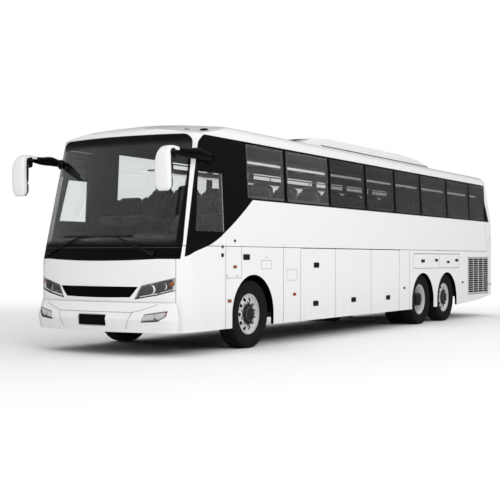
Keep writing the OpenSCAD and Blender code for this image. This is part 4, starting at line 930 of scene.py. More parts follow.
# %% Lamp covers
def cover(top, low_edge, y_end, surface, side, inset=0.004, n=22, m=8):
    """A two-sided lens over an outline, with its points on surface(y, z)."""
    rows = []
    y0 = top[0][0] + inset
    for i in range(n + 1):
        y = y0 + (y_end - y0) * i / n
        a, b = along(low_edge, y) + inset, along(top, y) - inset
        rows.append([Vector((surface(y, a + (b - a) * j / m), side * y,
                             a + (b - a) * j / m)) for j in range(m + 1)])
    v, f = grid(rows)
    back = [p + Vector((-0.006, 0, 0)) for p in v]
    count, w = len(v), m + 1
    rim = list(range(w)) + [i * w + m for i in range(1, n + 1)]
    rim += [n * w + j for j in range(m - 1, -1, -1)] + [i * w for i in range(n - 1, 0, -1)]
    faces = f + [[k + count for k in q[::-1]] for q in f]
    faces += [[a, b, b + count, a + count] for a, b in zip(rim, rim[1:] + rim[:1])]
    return v + back, (faces if side < 0 else [q[::-1] for q in faces])


BUMPER_X, BUMPER_NOSE_Z = high("bumper").x, 0.5
BUMPER_RAKE_UP, BUMPER_RAKE_DOWN = math.tan(math.radians(20)), math.tan(math.radians(15))
LAMP_END, FOG_END = 1.21, 1.118


def lamp_skin(y, z):
    return nose(y, MASK_X) - 0.002


def fog_skin(y, z):
    above, below = max(0, z - BUMPER_NOSE_Z), max(0, BUMPER_NOSE_Z - z)
    return nose(y, BUMPER_X) - 0.004 - above * BUMPER_RAKE_UP - below * BUMPER_RAKE_DOWN


covers = []
for side in (1, -1):
    covers.append(cover(LAMP_TOP, LAMP_LOW, LAMP_END, lamp_skin, side))
    covers.append(cover(FOG_TOP, FOG_LOW, FOG_END, fog_skin, side))
mesh("lamp_covers", *joined(covers), lens_clear)
print(len(covers), "lamp covers")


# %% Inside the headlamps
def turned_x(profile, c, n=32):
    """Turns (radius, forward) pairs about the X axis through c."""
    rows = [[Vector(c) + Vector((x, r * math.cos(2 * math.pi * j / n),
                                 r * math.sin(2 * math.pi * j / n))) for j in range(n)]
            for r, x in profile]
    v, f = grid(rows, True)
    return v, [q[::-1] for q in f]


BEAMS = [(0.848, 0.9003, 0.054), (1.023, 0.9425, 0.05)]       # out, up, radius
RING = [(1.16, -0.03), (1.16, 0.02), (1.1, 0.03), (1.0, 0.028), (0.86, 0.004), (0.8, -0.02)]
BALL = [(0.8 * math.cos(k * math.pi / 16), 0.034 * math.sin(k * math.pi / 16)) for k in range(8)]
rings, balls, turn_lamps, strips = [], [], [], []
for side in (1, -1):
    for y, z, r in BEAMS:
        c = (nose(y, MASK_X) - 0.046, side * y, z)
        rings.append(turned_x([(r * share, x) for share, x in RING], c))
        balls.append(turned_x([(r * share, x) for share, x in BALL] + [(0.0005, 0.034)], c))
    for k in range(5):
        y = 1.105 + 0.012 * k
        c = (nose(y, MASK_X) - 0.035, side * y, 0.965 + 0.006 * k)
        turn_lamps.append(pillow(c, (0.03, 0.013, 0.055), power=0.5, n=10, m=6))
    for k in range(26):
        y = 0.7 + 0.018 * k
        z = along(LAMP_LOW, y) + 0.022
        strips.append(pillow((nose(y, MASK_X) - 0.03, side * y, z), (0.02, 0.015, 0.02), power=0.6, n=8, m=5))
# Rings and lower strips glow faintly, which is a painted reflection.
mesh("lamp_rings", *joined(rings), reflector_painted_glow)
mesh("lamp_balls", *joined(balls), lens_clear)
mesh("front_indicators", *joined(turn_lamps), amber)
mesh("lamp_strips", *joined(strips), reflector_painted_glow)
print(len(rings), "projectors and", len(strips), "cells in the lower strips")

# %% Inside the fog lamps
FOG_RIBS, FOG_AMBER_RIBS, FOG_RIB_Y, FOG_RIB_STEP = 30, 2, 0.8, 0.0105
FOG_MARGIN, FOG_SET_BACK, FOG_RAKE = 0.012, 0.028, 0.34
fog_cells, fog_amber = [], []
for side in (1, -1):
    for k in range(FOG_RIBS):
        y = FOG_RIB_Y + FOG_RIB_STEP * k
        a, b = along(FOG_LOW, y) + FOG_MARGIN, along(FOG_TOP, y) - FOG_MARGIN
        z = (a + b) / 2
        x = nose(y, BUMPER_X) - FOG_SET_BACK - abs(z - BUMPER_NOSE_Z) * FOG_RAKE
        group = fog_cells if k < FOG_RIBS - FOG_AMBER_RIBS else fog_amber
        group.append(pillow((x, side * y, z), (0.02, 0.0095, b - a), power=0.6, n=8, m=6))
mesh("fog_reflectors", *joined(fog_cells), alloy)
mesh("fog_end_reflectors", *joined(fog_amber), amber)
print(len(fog_cells), "fog ribs")

# %% [markdown]
# ## Seams and creases on the nose
# The bumper is three mouldings, and their joints show as fine dark lines, as does the foot of the windscreen.
# A crease that rises outward from where they meet gets a dark line as well, which is painted shade.
# A texture would need an unwrapped nose. A thin ribbon is simpler: it follows a list of points seen from the
# front, and rays find the skin under them.

# %% Nose seams, and painted shade along a crease
LIP = ["bumper", "front_mask"]


def ribbon(points, width, nodes=LIP, proud=0.0012, step=0.02):
    """A flat band on the skin through (y, z) points."""
    rows = []
    for (y0, z0), (y1, z1) in zip(points, points[1:]):
        length = math.hypot(y1 - y0, z1 - z0)
        n = max(2, int(length / step))
        ny, nz = -(z1 - z0) / length * width / 2, (y1 - y0) / length * width / 2
        for i in range(n + 1):
            y, z = y0 + (y1 - y0) * i / n, z0 + (z1 - z0) * i / n
            row = []
            for s in (-1, 1):
                hit = skin(nodes, y + s * ny, z + s * nz)
                if hit:
                    row.append(hit[0] + Vector((proud, 0, 0)))
            if len(row) == 2:
                rows.append(row)
    return grid(rows)


MEET_Y, MEET_Z = 0.64, 0.595                # where the three mouldings of the bumper meet
FOOT_Y, FOOT_Z = 1.19, 1.462
joints_and_crease_shade = []
for side in (1, -1):
    joints_and_crease_shade.append(ribbon([(side * MEET_Y, MEET_Z), (side * 0.548, 0.372)], 0.006))
    # This line follows a crease, not a joint: its dark ribbon is painted shade.
    joints_and_crease_shade.append(ribbon([(side * MEET_Y, MEET_Z), (side * 0.838, 0.649), (side * 0.976, 0.703)], 0.005))
joints_and_crease_shade.append(ribbon([(-MEET_Y, MEET_Z), (MEET_Y, MEET_Z)], 0.005))
mesh("bumper_joints_and_crease_shade", *joined(joints_and_crease_shade), matt_black, smooth=False)
foot_line = ribbon([(-FOOT_Y, FOOT_Z), (FOOT_Y, FOOT_Z)], 0.0045, SCREEN, 0.003)
mesh("screen_foot_joint", *foot_line, rack_plastic, smooth=False)
print(len(joints_and_crease_shade), "lines on the bumper, joints and painted crease shade, and one below the screen")

# %% [markdown]
# ## Seats
# Twelve rows of double seats stand on the high floor, the first with low backs, and the driver's seat stands
# lower. Foam is full and crowned, with a hollow where the back meets the cushion. So a seat is built of soft
# closed cushions, each a box whose sides bulge. A cloth simulation isn't needed for tight covers, and boxes
# with bevels would look like wood.

# %% Seats
PITCH, SEAT_W, ROWS, LEAN = 0.79, 0.9, 12, 0.29
SEAM0 = high("seats").x - 0.66 * PITCH
ROW0, BENCH_Y = SEAM0 - 0.553, 0.717
FLOOR, DRIVER_FLOOR, DRIVER_Y = 1.44, 0.96, 0.6
tilt = Matrix.Rotation(-LEAN, 3, "Y")
flat = Matrix.Rotation(-0.07, 3, "Y")
cushions, heads, shells = [], [], []


def seat(x, y, z, w, low_back=False):
    def at(a, b, c):
        return (x + a, y + b, z + c)
    cushions.append(pillow(at(0.225, 0, 0.45), (0.4, w - 0.03, 0.13), flat, 0.4, 14, 8))
    cushions.append(pillow(at(0.385, 0, 0.425), (0.1, w - 0.05, 0.12), flat, 0.6, 12, 6))
    tall = 0.36 if low_back else 0.54
    mid_z = 0.45 + tall / 2
    back_x = 0.01 - LEAN * tall / 2
    cushions.append(pillow(at(back_x, 0, mid_z), (0.11, w - 0.06, tall), tilt, 0.4, 14, 8))
    for s in (-1, 1):
        wing = at(back_x + 0.03, s * (w / 2 - 0.05), mid_z - 0.02)
        cushions.append(pillow(wing, (0.1, 0.07, tall - 0.06), tilt, 0.55, 10, 6))
        shells.append(pillow(at(0.06, s * (w / 2 - 0.012), 0.6), (0.3, 0.035, 0.05), flat, 0.4, 10, 6))
    if not low_back:
        heads.append(pillow(at(-0.185, 0, 0.98), (0.1, w - 0.15, 0.16), tilt, 0.5, 14, 8))
    shells.append(pillow(at(back_x - 0.04, 0, mid_z), (0.06, w - 0.02, tall + 0.05), tilt, 0.25, 14, 8))
    shells.append(pillow(at(0.07, 0, 0.2), (0.12, w - 0.16, 0.4), None, 0.2, 12, 6))


for row in range(ROWS):
    for side in (1, -1):
        for half_seat in (-1, 1):
            seat(ROW0 - row * PITCH, side * BENCH_Y + half_seat * SEAT_W / 4, FLOOR, SEAT_W / 2, row == 0)
seat(SEAM0 + 0.12 * PITCH, DRIVER_Y, DRIVER_FLOOR, SEAT_W / 2)
seat_ob = mesh("seat_cushions", *joined(cushions), seat_cloth)
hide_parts("seats")
mesh("headrests", *joined(heads), head_cloth)
mesh("seat_shells", *joined(shells), dash_plastic)
print(len(heads), "headrests and", len(cushions), "cushions")

# %% [markdown]
# ## Cab
# Behind the big screen lies a dark dash across the whole width, with a hooded binnacle before the driver, a
# row of switches, and a steering wheel that the frame already has. Dark soft shapes are enough here: they are
# seen through the screen, and only their outlines and highlights read.

# %% Dash
DASH_X, DASH_REAR, DASH_Z = mid("dashboard").x, low("dashboard").x, high("dashboard").z
DASH_HALF, DASH_STEPS = 1.08, 24
cab, keys = [], []
shelf = []
for i in range(DASH_STEPS + 1):
    y = -DASH_HALF + 2 * DASH_HALF * i / DASH_STEPS
    shelf.append((nose(y, MASK_X) - 0.3, y, DASH_Z - 0.085))
cab.append(swept(shelf, [(0.075, 0.17)] * len(shelf), 16))
cab.append(pillow((DASH_X + 0.04, DRIVER_Y, DASH_Z - 0.03), (0.34, 0.66, 0.2), None, 0.6))
cab.append(pillow((DASH_X + 0.12, -0.12, DASH_Z - 0.04), (0.3, 0.5, 0.13), None, 0.55))
for k in range(9):
    c = (DASH_REAR + 0.085, 0.1 + 0.035 * k, DASH_Z - 0.245)
    keys.append(pillow(c, (0.02, 0.024, 0.028), None, 0.3, 8, 6))
for y in (-0.02, 0.98):
    for k in range(6):
        c = (DASH_REAR + 0.13, y, DASH_Z - 0.2 + 0.014 * k)
        keys.append(pillow(c, (0.03, 0.1, 0.006), None, 0.3, 8, 6))
mesh("dash_top", *joined(cab), dash_plastic)
mesh("dash_keys", *joined(keys), grey_plastic)
print("dash across", round(shelf[-1][1] - shelf[0][1], 2), "m")

# %% [markdown]
# ## Luggage racks and their light strips
# The frame has each rack as one long block, because that is enough for its weight. A real rack is an open
# shelf with a rolled lip and a rail, and one sees right over it. A short section, drawn along the coach,
# gives that. Under the shelf runs a bright line with lamps and air nozzles. It is a real lamp, so its finish
# gives off a little light.

# %% Open racks
def block(c, s, turn=None):
    """A box with centre c and size s, as verts and faces."""
    c, s = Vector(c), Vector(s) / 2
    corners = [Vector((x * s.x, y * s.y, z * s.z)) for x in (-1, 1) for y in (-1, 1) for z in (-1, 1)]
    if turn:
        corners = [turn @ v for v in corners]
    return [c + v for v in corners], [[0, 1, 3, 2], [4, 6, 7, 5], [0, 4, 5, 1], [2, 3, 7, 6], [0, 2, 6, 4],
                                      [1, 5, 7, 3]]


RACK_Z, RACK_Y = low("racks").z, high("racks").y
RACK_X0, RACK_X1, RACK_IN = low("racks").x, high("racks").x, 0.82
RIGHT_LATER = 1.0            # beside the stairwell the right-hand shelf starts a metre further back
RAIL_STEPS, RAIL_R, RAIL_IN, RAIL_UP = 16, 0.011, 0.016, 0.112
SHELF = [(0.0, 0.03), (0.012, 0.008), (0.05, 0.0), (0.35, 0.0), (0.35, 0.02), (0.055, 0.02), (0.02, 0.028),
         (0.008, 0.038)]
shelves, rack_rails = [], []
for side in (1, -1):
    front = RACK_X1 if side > 0 else RACK_X1 - RIGHT_LATER
    rows = [[Vector((x, side * (RACK_IN + dy), RACK_Z + dz)) for dy, dz in SHELF] for x in (RACK_X0, front)]
    v, f = grid(rows, True)
    f += [list(range(len(SHELF)))[::-1], [len(SHELF) + j for j in range(len(SHELF))]]
    shelves.append((v, f if side < 0 else [q[::-1] for q in f]))
    rail_y = side * (RACK_IN + RAIL_IN)
    xs = [RACK_X0 + (front - RACK_X0) * i / RAIL_STEPS for i in range(RAIL_STEPS + 1)]
    rack_rails.append(swept([(x, rail_y, RACK_Z + RAIL_UP) for x in xs], [(RAIL_R, RAIL_R)] * len(xs), 10))
    for k in range(ROWS // 2):
        x = front - 0.25 - 2 * PITCH * k
        rack_rails.append(block((x, rail_y, RACK_Z + 0.07), (0.02, 0.012, 0.085)))
shelf_ob = mesh("rack_shelves", *joined(shelves), rack_plastic, smooth=False)
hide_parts("racks")
mesh("rack_rails", *joined(rack_rails), rack_plastic)
print("rack shelves", round(RACK_X1 - RACK_X0, 2), "m long")

# %% Rack strips
strip_light = finish("Rack light strip", (0.8, 0.8, 0.78), (0.3, 0.4), 3.0, Emission_Strength=0.55)[0]
strip_light.node_tree.nodes["Principled BSDF"].inputs["Emission Color"].default_value = (1.0, 0.98, 0.94, 1)
STRIP_STEPS, STRIP_SHORTER = 24, 0.05
strips, nozzles = [], []
for side in (1, -1):
    x0, x1 = RACK_X0 + STRIP_SHORTER, RACK_X1 - STRIP_SHORTER - (RIGHT_LATER if side < 0 else 0)
    xs = [x0 + (x1 - x0) * i / STRIP_STEPS for i in range(STRIP_STEPS + 1)]
    pts = [(x, side * (RACK_Y - 0.045), RACK_Z - 0.012) for x in xs]
    strips.append(swept(pts, [(0.02, 0.03)] * len(pts), 10))
    for row in range(ROWS):
        c = (ROW0 - row * PITCH + 0.1, side * (RACK_Y - 0.25), RACK_Z - 0.008)
        if c[0] < x1 - 0.1:
            nozzles.append(pillow(c, (0.3, 0.16, 0.03), None, 0.4, 12, 6))
mesh("rack_strips", *joined(strips), strip_light)
mesh("service_sets", *joined(nozzles), grey_plastic)
print("rack strips", round(x1 - x0, 2), "m long")

# %% [markdown]
# ## Shut lines
# Between two panels the eye sees a dark gap. In the frame the gaps are real, but light gets in from behind. A
# black rubber seal a few millimetres below the skin closes each of them, as it does on the real coach.

# %% Shut lines
GAP, SUNK, FREE, SEAL_T = 0.007, 0.004, 0.001, 0.008
HINGE_SUNK = 0.024           # over a flap the seal lies behind the hinge line, out of the way of its swing
HINGE_ROOM = 0.08            # the louvred door turns about its front edge, so no seal stands in its way there
seals = []


def seal(x0, x1, z0, z1, side, sunk=SUNK):
    y = side * (HALF_W - sunk)
    c = ((x0 + x1) / 2, y - side * SEAL_T / 2, (z0 + z1) / 2)
    seals.append(block(c, (x1 - x0, SEAL_T, z1 - z0)))


FLAPS = ["flap_" + s + k for s in "lr" for k in "123"]
for name in FLAPS + ["lid_l1", "lid_l2", "louvre_door"]:
    a, b = low(name), high(name)
    side = 1 if mid(name).y > 0 else -1
    front = b.x - HINGE_ROOM if name == "louvre_door" else b.x + GAP
    seal(a.x - GAP, a.x - FREE, a.z, b.z, side)
    if front > b.x:
        seal(b.x + FREE, b.x + GAP, a.z, b.z, side)
    seal(a.x - GAP, front, b.z + FREE, b.z + GAP, side, SUNK if name == "louvre_door" else HINGE_SUNK)
    if "flap" not in name:
        seal(a.x - GAP, front, a.z - GAP, a.z - FREE, side)
for side in (1, -1):
    seal(low("side_left").x + 0.3, low("flap_l3").x, BELT, BELT + GAP, side)
    seal(high("flap_l1").x, SEAM0 + 0.9, BELT, BELT + GAP, side)
mesh("shut_line_seals", *joined(seals), matt_black, smooth=False)
print(len(seals), "seals")

# %% [markdown]
# ## Black borders of the side panes
# The edge of a glued pane is printed black, so that the glue behind it doesn't show. Four flat strips lie on
# each pane, the rear one wider. All panes of the frame are one mesh, so it is first taken apart into loose
# pieces by following its edges, and the bounding box of each piece gives the four strips their place.

# %% Black borders of the side panes
BORDER, BORDER_REAR, BORDER_PROUD = 0.022, 0.05, 0.001
CAB_PANES = FRONT + 0.5     # panes ahead of this have no border


def loose_boxes(data):
    """The bounding boxes of a mesh's separate pieces."""
    parent = list(range(len(data.vertices)))

    def root(i):
        while parent[i] != i:
            parent[i] = parent[parent[i]]
            i = parent[i]
        return i
    at, first = {}, {}
    for v in data.vertices:
        k = tuple(round(c, 4) for c in v.co)
        if k in at:
            parent[root(v.index)] = root(at[k])
        at.setdefault(k, v.index)
    for e in data.edges:
        parent[root(e.vertices[0])] = root(e.vertices[1])
    for v in data.vertices:
        first.setdefault(root(v.index), []).append(v.co)
    return [([min(axis) for axis in zip(*cs)], [max(axis) for axis in zip(*cs)]) for cs in first.values()]


borders = []
for lo, hi in sorted(loose_boxes(NODES["side_glass"].data)):
    side = 1 if hi[1] > 0 else -1
    if hi[0] > CAB_PANES:
        continue
    for x0, x1, z0, z1 in ((lo[0], lo[0] + BORDER_REAR, lo[2], hi[2]), (hi[0] - BORDER, hi[0], lo[2], hi[2]),
                           (lo[0], hi[0], lo[2], lo[2] + BORDER), (lo[0], hi[0], hi[2] - BORDER, hi[2])):
        turns = ((x0, z0), (x1, z0), (x1, z1), (x0, z1))
        corners = [Vector((x, side * (side_y(z) + BORDER_PROUD), z)) for x, z in turns]
        borders.append((corners, [[0, 1, 2, 3][::-side]]))
mesh("pane_borders", *joined(borders), gloss_black, smooth=False)
print(len(borders) // 4, "panes bordered")

# %% [markdown]
# ## Joints of the fixed panels
# Ahead of the flaps the skirt is split into fixed panels, and two small covers are let into it. These joints
# don't open, so a thin dark block in the skin is enough for each. They are seen on the driver's side only,
# and nothing shows that the other side has them.

# %% Joints of the fixed panels
JOINTS = [(0.75, 0.62, 1.52), (-0.88, 0.335, 1.52), (0.33, 1.04, 1.52)]
COVERS = [(-0.51, -0.22, 1.165, 1.29), (-1.31, -0.99, 0.98, 1.15)]
GROOVE_OUT, GROOVE_T = 0.0002, 0.0016
grooves = []


def groove(x, z, long_x, long_z):
    grooves.append(block((FRONT + x, HALF_W + GROOVE_OUT, z), (long_x, GROOVE_T, long_z)))


for x, z0, z1 in JOINTS:
    groove(x, (z0 + z1) / 2, 0.005, z1 - z0)
groove(0.54, 1.04, 0.42, 0.005)
for x0, x1, z0, z1 in COVERS:
    for z in (z0, z1):
        groove((x0 + x1) / 2, z, x1 - x0, 0.004)
    for x in (x0, x1):
        groove(x, (z0 + z1) / 2, 0.004, z1 - z0)
mesh("panel_grooves", *joined(grooves), matt_black, smooth=False)
print(len(grooves), "grooves")

# %% [markdown]
# ## Handles, knobs and marker lamps on the side
# Each luggage flap has a black cup handle, and the lids over the rear wheels have small ones. They ride on
# their flap, so they swing with it. A cup is three soft shapes: a frame, a well and a paddle across it. Round
# locks sit ahead of the flaps, and a black bezel holds each marker lamp of the frame.

# %% Handles
HANDLES = [(0.202, 1.339, 0.18, 0.085, "coach"), (-1.957, 1.212, 0.18, 0.085, "flap_l1"),
           (-1.936, 0.588, 0.18, 0.085, "flap_l1"), (-3.337, 0.602, 0.18, 0.085, "flap_l2"),
           (-4.803, 0.594, 0.18, 0.085, "flap_l3"), (-6.51, 1.273, 0.18, 0.06, "lid_l1"),
           (-7.243, 1.288, 0.15, 0.055, "lid_l1"), (-7.915, 1.25, 0.15, 0.05, "lid_l2"),
           (-8.424, 1.286, 0.18, 0.055, "lid_l2")]


def cup(x, z, w, h, side):
    y = side * HALF_W
    return [pillow((x, y, z), (w, 0.016, h), None, 0.25),
            pillow((x, y + side * 0.006, z - h * 0.08), (w * 0.78, 0.012, h * 0.5), None, 0.3),
            pillow((x, y + side * 0.011, z + h * 0.24), (w * 0.7, 0.014, h * 0.22), None, 0.5)]


by_body = {}
for x, z, w, h, body in HANDLES:
    by_body.setdefault(body, []).extend(cup(FRONT + x, z, w, h, 1))
    if body.startswith("flap"):
        by_body.setdefault(body.replace("_l", "_r"), []).extend(cup(FRONT + x, z, w, h, -1))
for body, parts in by_body.items():
    mesh("handles_" + body, *joined(parts), matt_black, body)
print("handles on", sorted(by_body))

# %% Locks and lamp bezels
def knob(x, z, r, side=1):
    return lathe([(r, 0), (r, 0.006), (r * 0.8, 0.012), (r * 0.35, 0.014), (r * 0.3, 0.01), (POINT, 0.01)],
                 (x, side * HALF_W, z), 24, side)


LOCKS = [(0.84, 1.483, 0.026), (0.52, 1.57, 0.024), (-0.36, 1.335, 0.008), (0.72, 1.075, 0.009),
         (0.46, 1.075, 0.009)]
mesh("locks", *joined([knob(FRONT + x, z, r) for x, z, r in LOCKS]), nickel)
mesh("dark_lock", *knob(FRONT + 0.84, 1.364, 0.03), matt_black)
bezels = []
for node_name in ("amber_lamps", "red_lamps"):
    data = NODES[node_name].data
    spots = set()
    for v in data.vertices:
        if abs(v.co.y) > HALF_W - 0.01 and v.co.x > low("side_left").x:
            spots.add((round(v.co.x, 4), round(v.co.z, 4), 1 if v.co.y > 0 else -1))
    for side in (1, -1):
        xs = sorted({s[0] for s in spots if s[2] == side})
        for a, b in zip(xs[::2], xs[1::2]):
            zs = [s[1] for s in spots if s[2] == side and a - 0.001 <= s[0] <= b + 0.001]
            bezels.append(pillow(((a + b) / 2 - 0.012, side * (HALF_W + 0.001), (min(zs) + max(zs)) / 2),
                                 (b - a + 0.03, 0.012, max(zs) - min(zs) + 0.01), None, 0.25))
mesh("lamp_bezels", *joined(bezels), matt_black)
print(len(bezels), "lamp bezels")

# %% [markdown]
# ## Wheel arches
# Inside the white edge of an arch sits black plastic. A thin band follows each opening, a half circle that
# goes on straight down, and hides the bare edge of the panel.

# %% Arch bands
BAND_T = 0.003


def arch_band(x, z, r, y0, y1, foot):
    n = 40
    path = [(x + r * math.cos(math.pi * i / n), z + r * math.sin(math.pi * i / n)) for i in range(n + 1)]
    path = [(x + r, foot)] + path + [(x - r, foot)]
    rows = []
    for px, pz in path:
        nx, nz = (px - x, max(pz - z, 0.0))
        m = math.hypot(nx, nz) or 1.0
        ix, iz = px - nx / m * BAND_T, pz - nz / m * BAND_T
        rows.append([Vector((px, y0, pz)), Vector((px, y1, pz)), Vector((ix, y1, iz)), Vector((ix, y0, iz))])
    return grid(rows, True)


FRONT_ARCH_R, REAR_ARCH_Z, REAR_ARCH_R = 0.5795, 0.465, 0.5655
bands = []
for side in (1, -1):
    y0, y1 = sorted((side * (HALF_W - 0.046), side * (HALF_W - 0.003)))
    bands.append(arch_band(FRONT, TYRE_R, FRONT_ARCH_R, y0, y1, SKIRT + 0.01))
    for x in (DRIVE, TAG):
        bands.append(arch_band(x, REAR_ARCH_Z, REAR_ARCH_R, y0, y1, REAR_ARCH_Z - 0.02))
mesh("arch_bands", *joined(bands), felt_and_shade_black, smooth=False)
print("arch bands on", len(bands), "openings")

# %% [markdown]
# ## Roof
# The air-conditioning fairing sits on the roof, with an intake and round fan grilles on top. A dark line at
# its foot is painted shade in the gap between fairing and roof. Near the front stand a black oval aerial base
# and a small grey lamp. The fans and the two hatches are guessed after other coaches, since the photo doesn't
# show the top. Rays cast straight down find the roof under each piece.

# %% Aerial base and roof lamp
def roof_at(x, y, nodes=("roof", "roof_unit")):
    best = None
    for name in nodes:
        hit, p, n, _ = NODES[name].ray_cast(Vector((x, y, 6.0)), Vector((0, 0, -1)))
        if hit and (best is None or p.z > best[0].z):
            best = (p, n)
    return best


def lean_to(normal):
    return Vector((0, 0, 1)).rotation_difference(normal).to_matrix()


p, n = roof_at(FRONT + 1.02, 1.1)
mesh("aerial_base", *pillow(p, (0.17, 0.075, 0.05), lean_to(n), 0.75), gloss_black)
p, n = roof_at(FRONT + 1.22, 0.95)
lamp_foot = pillow(p, (0.09, 0.06, 0.034), lean_to(n), 0.7)
lamp_top = pillow(p + n * 0.012, (0.05, 0.035, 0.026), lean_to(n), 0.8)
mesh("roof_lamp", *joined([lamp_foot, lamp_top]), grey_plastic)
print("roof lamp at z", round(p.z, 3))

# %% Painted shade at the foot of the fairing, and its intake
U0, U1 = low("roof_unit"), high("roof_unit")
# A dark line along the fairing's foot: painted shade in the gap between fairing and roof.
FOOT_SHADE_Z, FOOT_SHADE_REAR, FOOT_SHADE_LONG, FOOT_SHADE_STEPS = 3.29, -7.9, 4.9, 40
foot = []
for side in (1, -1):
    rim_pts = []
    for i in range(FOOT_SHADE_STEPS + 1):
        x = FRONT + FOOT_SHADE_REAR + FOOT_SHADE_LONG * i / FOOT_SHADE_STEPS
        hit, q = NODES["roof_unit"].ray_cast(Vector((x, side * 3.0, FOOT_SHADE_Z)), Vector((0, -side, 0)))[:2]
        if hit:
            rim_pts.append(q)
    foot.append(swept(rim_pts, [(0.011, 0.004)] * len(rim_pts), 8))
mesh("unit_foot_shade", *joined(foot), matt_black)
INTAKE_X, INTAKE_LONG, INTAKE_HALF = U1.x - 0.14, 0.42, 0.62
rows = []
for i in range(7):
    x = INTAKE_X - INTAKE_LONG * i / 6
    ys = [-INTAKE_HALF + 2 * INTAKE_HALF * j / 16 for j in range(17)]
    rows.append([roof_at(x, y)[0] + Vector((0, 0, 0.003)) for y in ys])
mesh("unit_intake", *grid([r[::-1] for r in rows]), matt_black)
print("fairing", round(U1.x - U0.x, 2), "m long")

# %% Fans and hatches
FAN_R, FANS, FAN_STEPS, FAN_SPOKES = 0.21, 3, 32, 8


def circle(x, z, r):
    """Points on a level circle over the middle line of the roof."""
    turns = [2 * math.pi * k / FAN_STEPS for k in range(FAN_STEPS)]
    return [Vector((x + r * math.cos(a), r * math.sin(a), z)) for a in turns]


rings, guards, wells = [], [], []
for i in range(FANS):
    x = U0.x + (U1.x - U0.x) * (0.35 + 0.16 * i)
    q, n = roof_at(x, 0.0)
    for r in (FAN_R, FAN_R * 0.72, FAN_R * 0.44, FAN_R * 0.18):
        outer = r == FAN_R
        loop = circle(x, q.z + 0.004, r)
        loop.append(loop[0])
        (rings if outer else guards).append(swept(loop, [(0.012 if outer else 0.004,) * 2] * len(loop), 8))
    for end in circle(x, q.z + 0.006, FAN_R)[::FAN_STEPS // FAN_SPOKES]:
        guards.append(swept([(x, 0, q.z + 0.006), end], [(0.004, 0.004)] * 2, 6))
    wells.append((circle(x, q.z + 0.0012, FAN_R * 0.97), [list(range(FAN_STEPS))]))
mesh("fan_rings", *joined(rings), grey_plastic)
mesh("fan_guards", *joined(guards), matt_black)
mesh("fan_wells", *joined(wells), matt_black, smooth=False)
hatches = []
for x in (FRONT + 0.1, low("roof").x + 1.5):
    q, n = roof_at(x, 0.0)
    hatches.append(pillow(q, (0.7, 0.6, 0.05), None, 0.2))
    hatches.append(pillow(q + Vector((0, 0, 0.018)), (0.5, 0.4, 0.03), None, 0.25))
mesh("roof_hatches", *joined(hatches), plain_paint)
print(FANS, "fans and", len(hatches) // 2, "hatches")

# %% [markdown]
# ## Radiator door
# The door behind the rear wheels is a white panel with four columns of dark slots. The slots are in the CAD
# part. The fins here are leaning slats, and behind each column lies a dark sheet of painted shade, so that it
# reads as a stack of deep slots.

# %% Radiator fins
L0, L1 = low("louvre_door"), high("louvre_door")
FIN_COLS, FIN_PITCH, FIN_MARGIN, FIN_SHARE = 4, 0.048, 0.035, 0.8
fins, slot_shade = [], []
fin_turn = Matrix.Rotation(0.6, 3, "X")
col_w = (L1.x - L0.x - 0.06) / FIN_COLS
for c in range(FIN_COLS):
    x = L0.x + 0.02 + col_w * (c + 0.5)
    # A dark sheet behind the fins of each column: painted shade in the slots.
    slot_shade.append(block((x, HALF_W + 0.0006, (L0.z + L1.z) / 2),
                      (col_w * FIN_SHARE, 0.0012, L1.z - L0.z - 0.05)))
    z = L0.z + FIN_MARGIN
    while z < L1.z - FIN_MARGIN:
        fins.append(block((x, HALF_W + 0.004, z), (col_w * FIN_SHARE, 0.011, 0.011), fin_turn))
        z += FIN_PITCH
mesh("radiator_fins", *joined(fins), louvre_paint, "louvre_door", smooth=False)
mesh("radiator_slot_shade", *joined(slot_shade), felt_and_shade_black, "louvre_door", smooth=False)
mesh("radiator_catch", *joined(cup(L0.x + 0.012, 0.72, 0.03, 0.028, 1)), matt_black, "louvre_door")
print(len(fins), "fins")

# %% [markdown]
# ## Tail
# The photo doesn't show the tail, so this is a plain guess after other coaches: a dark window high up,
# stacked lamps at the corners and an engine lid with cooling slots. Rays cast forwards find the leaning tail.

# %% Tail pane
PANE_Z, PANE_HIGH, PANE_HALF = 2.2, 0.72, 1.02


def tail_at(y, z, nodes=("rear_cap", "engine_lid", "roof")):
    return skin(nodes, y, z, -9.0, 1)


rows = []
for j in range(13):
    z = PANE_Z + PANE_HIGH * j / 12
    ys = [-PANE_HALF + 2 * PANE_HALF * i / 24 for i in range(25)]
    rows.append([tail_at(y, z)[0] + Vector((-0.003, 0, 0)) for y in ys])
mesh("tail_pane", *grid([r[::-1] for r in rows]), gloss_black)
edge_pts = rows[0] + [r[-1] for r in rows[1:]] + rows[-1][::-1][1:] + [r[0] for r in rows[::-1][1:]]
proud_pts = [p + Vector((-0.002, 0, 0)) for p in edge_pts]
mesh("tail_pane_seal", *swept(proud_pts, [(0.008, 0.008)] * len(proud_pts), 8), matt_black)
print("tail pane", 2 * PANE_HALF, "m wide")

# %% Engine lid
E0 = low("engine_lid")
slots = []
for i in range(14):
    z = E0.z + 0.12 + 0.035 * i
    for y in (-0.48, 0.0, 0.48):
        slots.append(pillow((E0.x - 0.002, y, z), (0.014, 0.4, 0.013), None, 0.4, 12, 6))
mesh("engine_slots", *joined(slots), matt_black, "engine_lid")
latches = [pillow((E0.x - 0.008, y, E0.z + 0.06), (0.026, 0.12, 0.035), None, 0.4) for y in (-0.55, 0.55)]
mesh("lid_latch", *joined(latches), matt_black, "engine_lid")
print(len(slots), "slots and", len(latches), "latches")

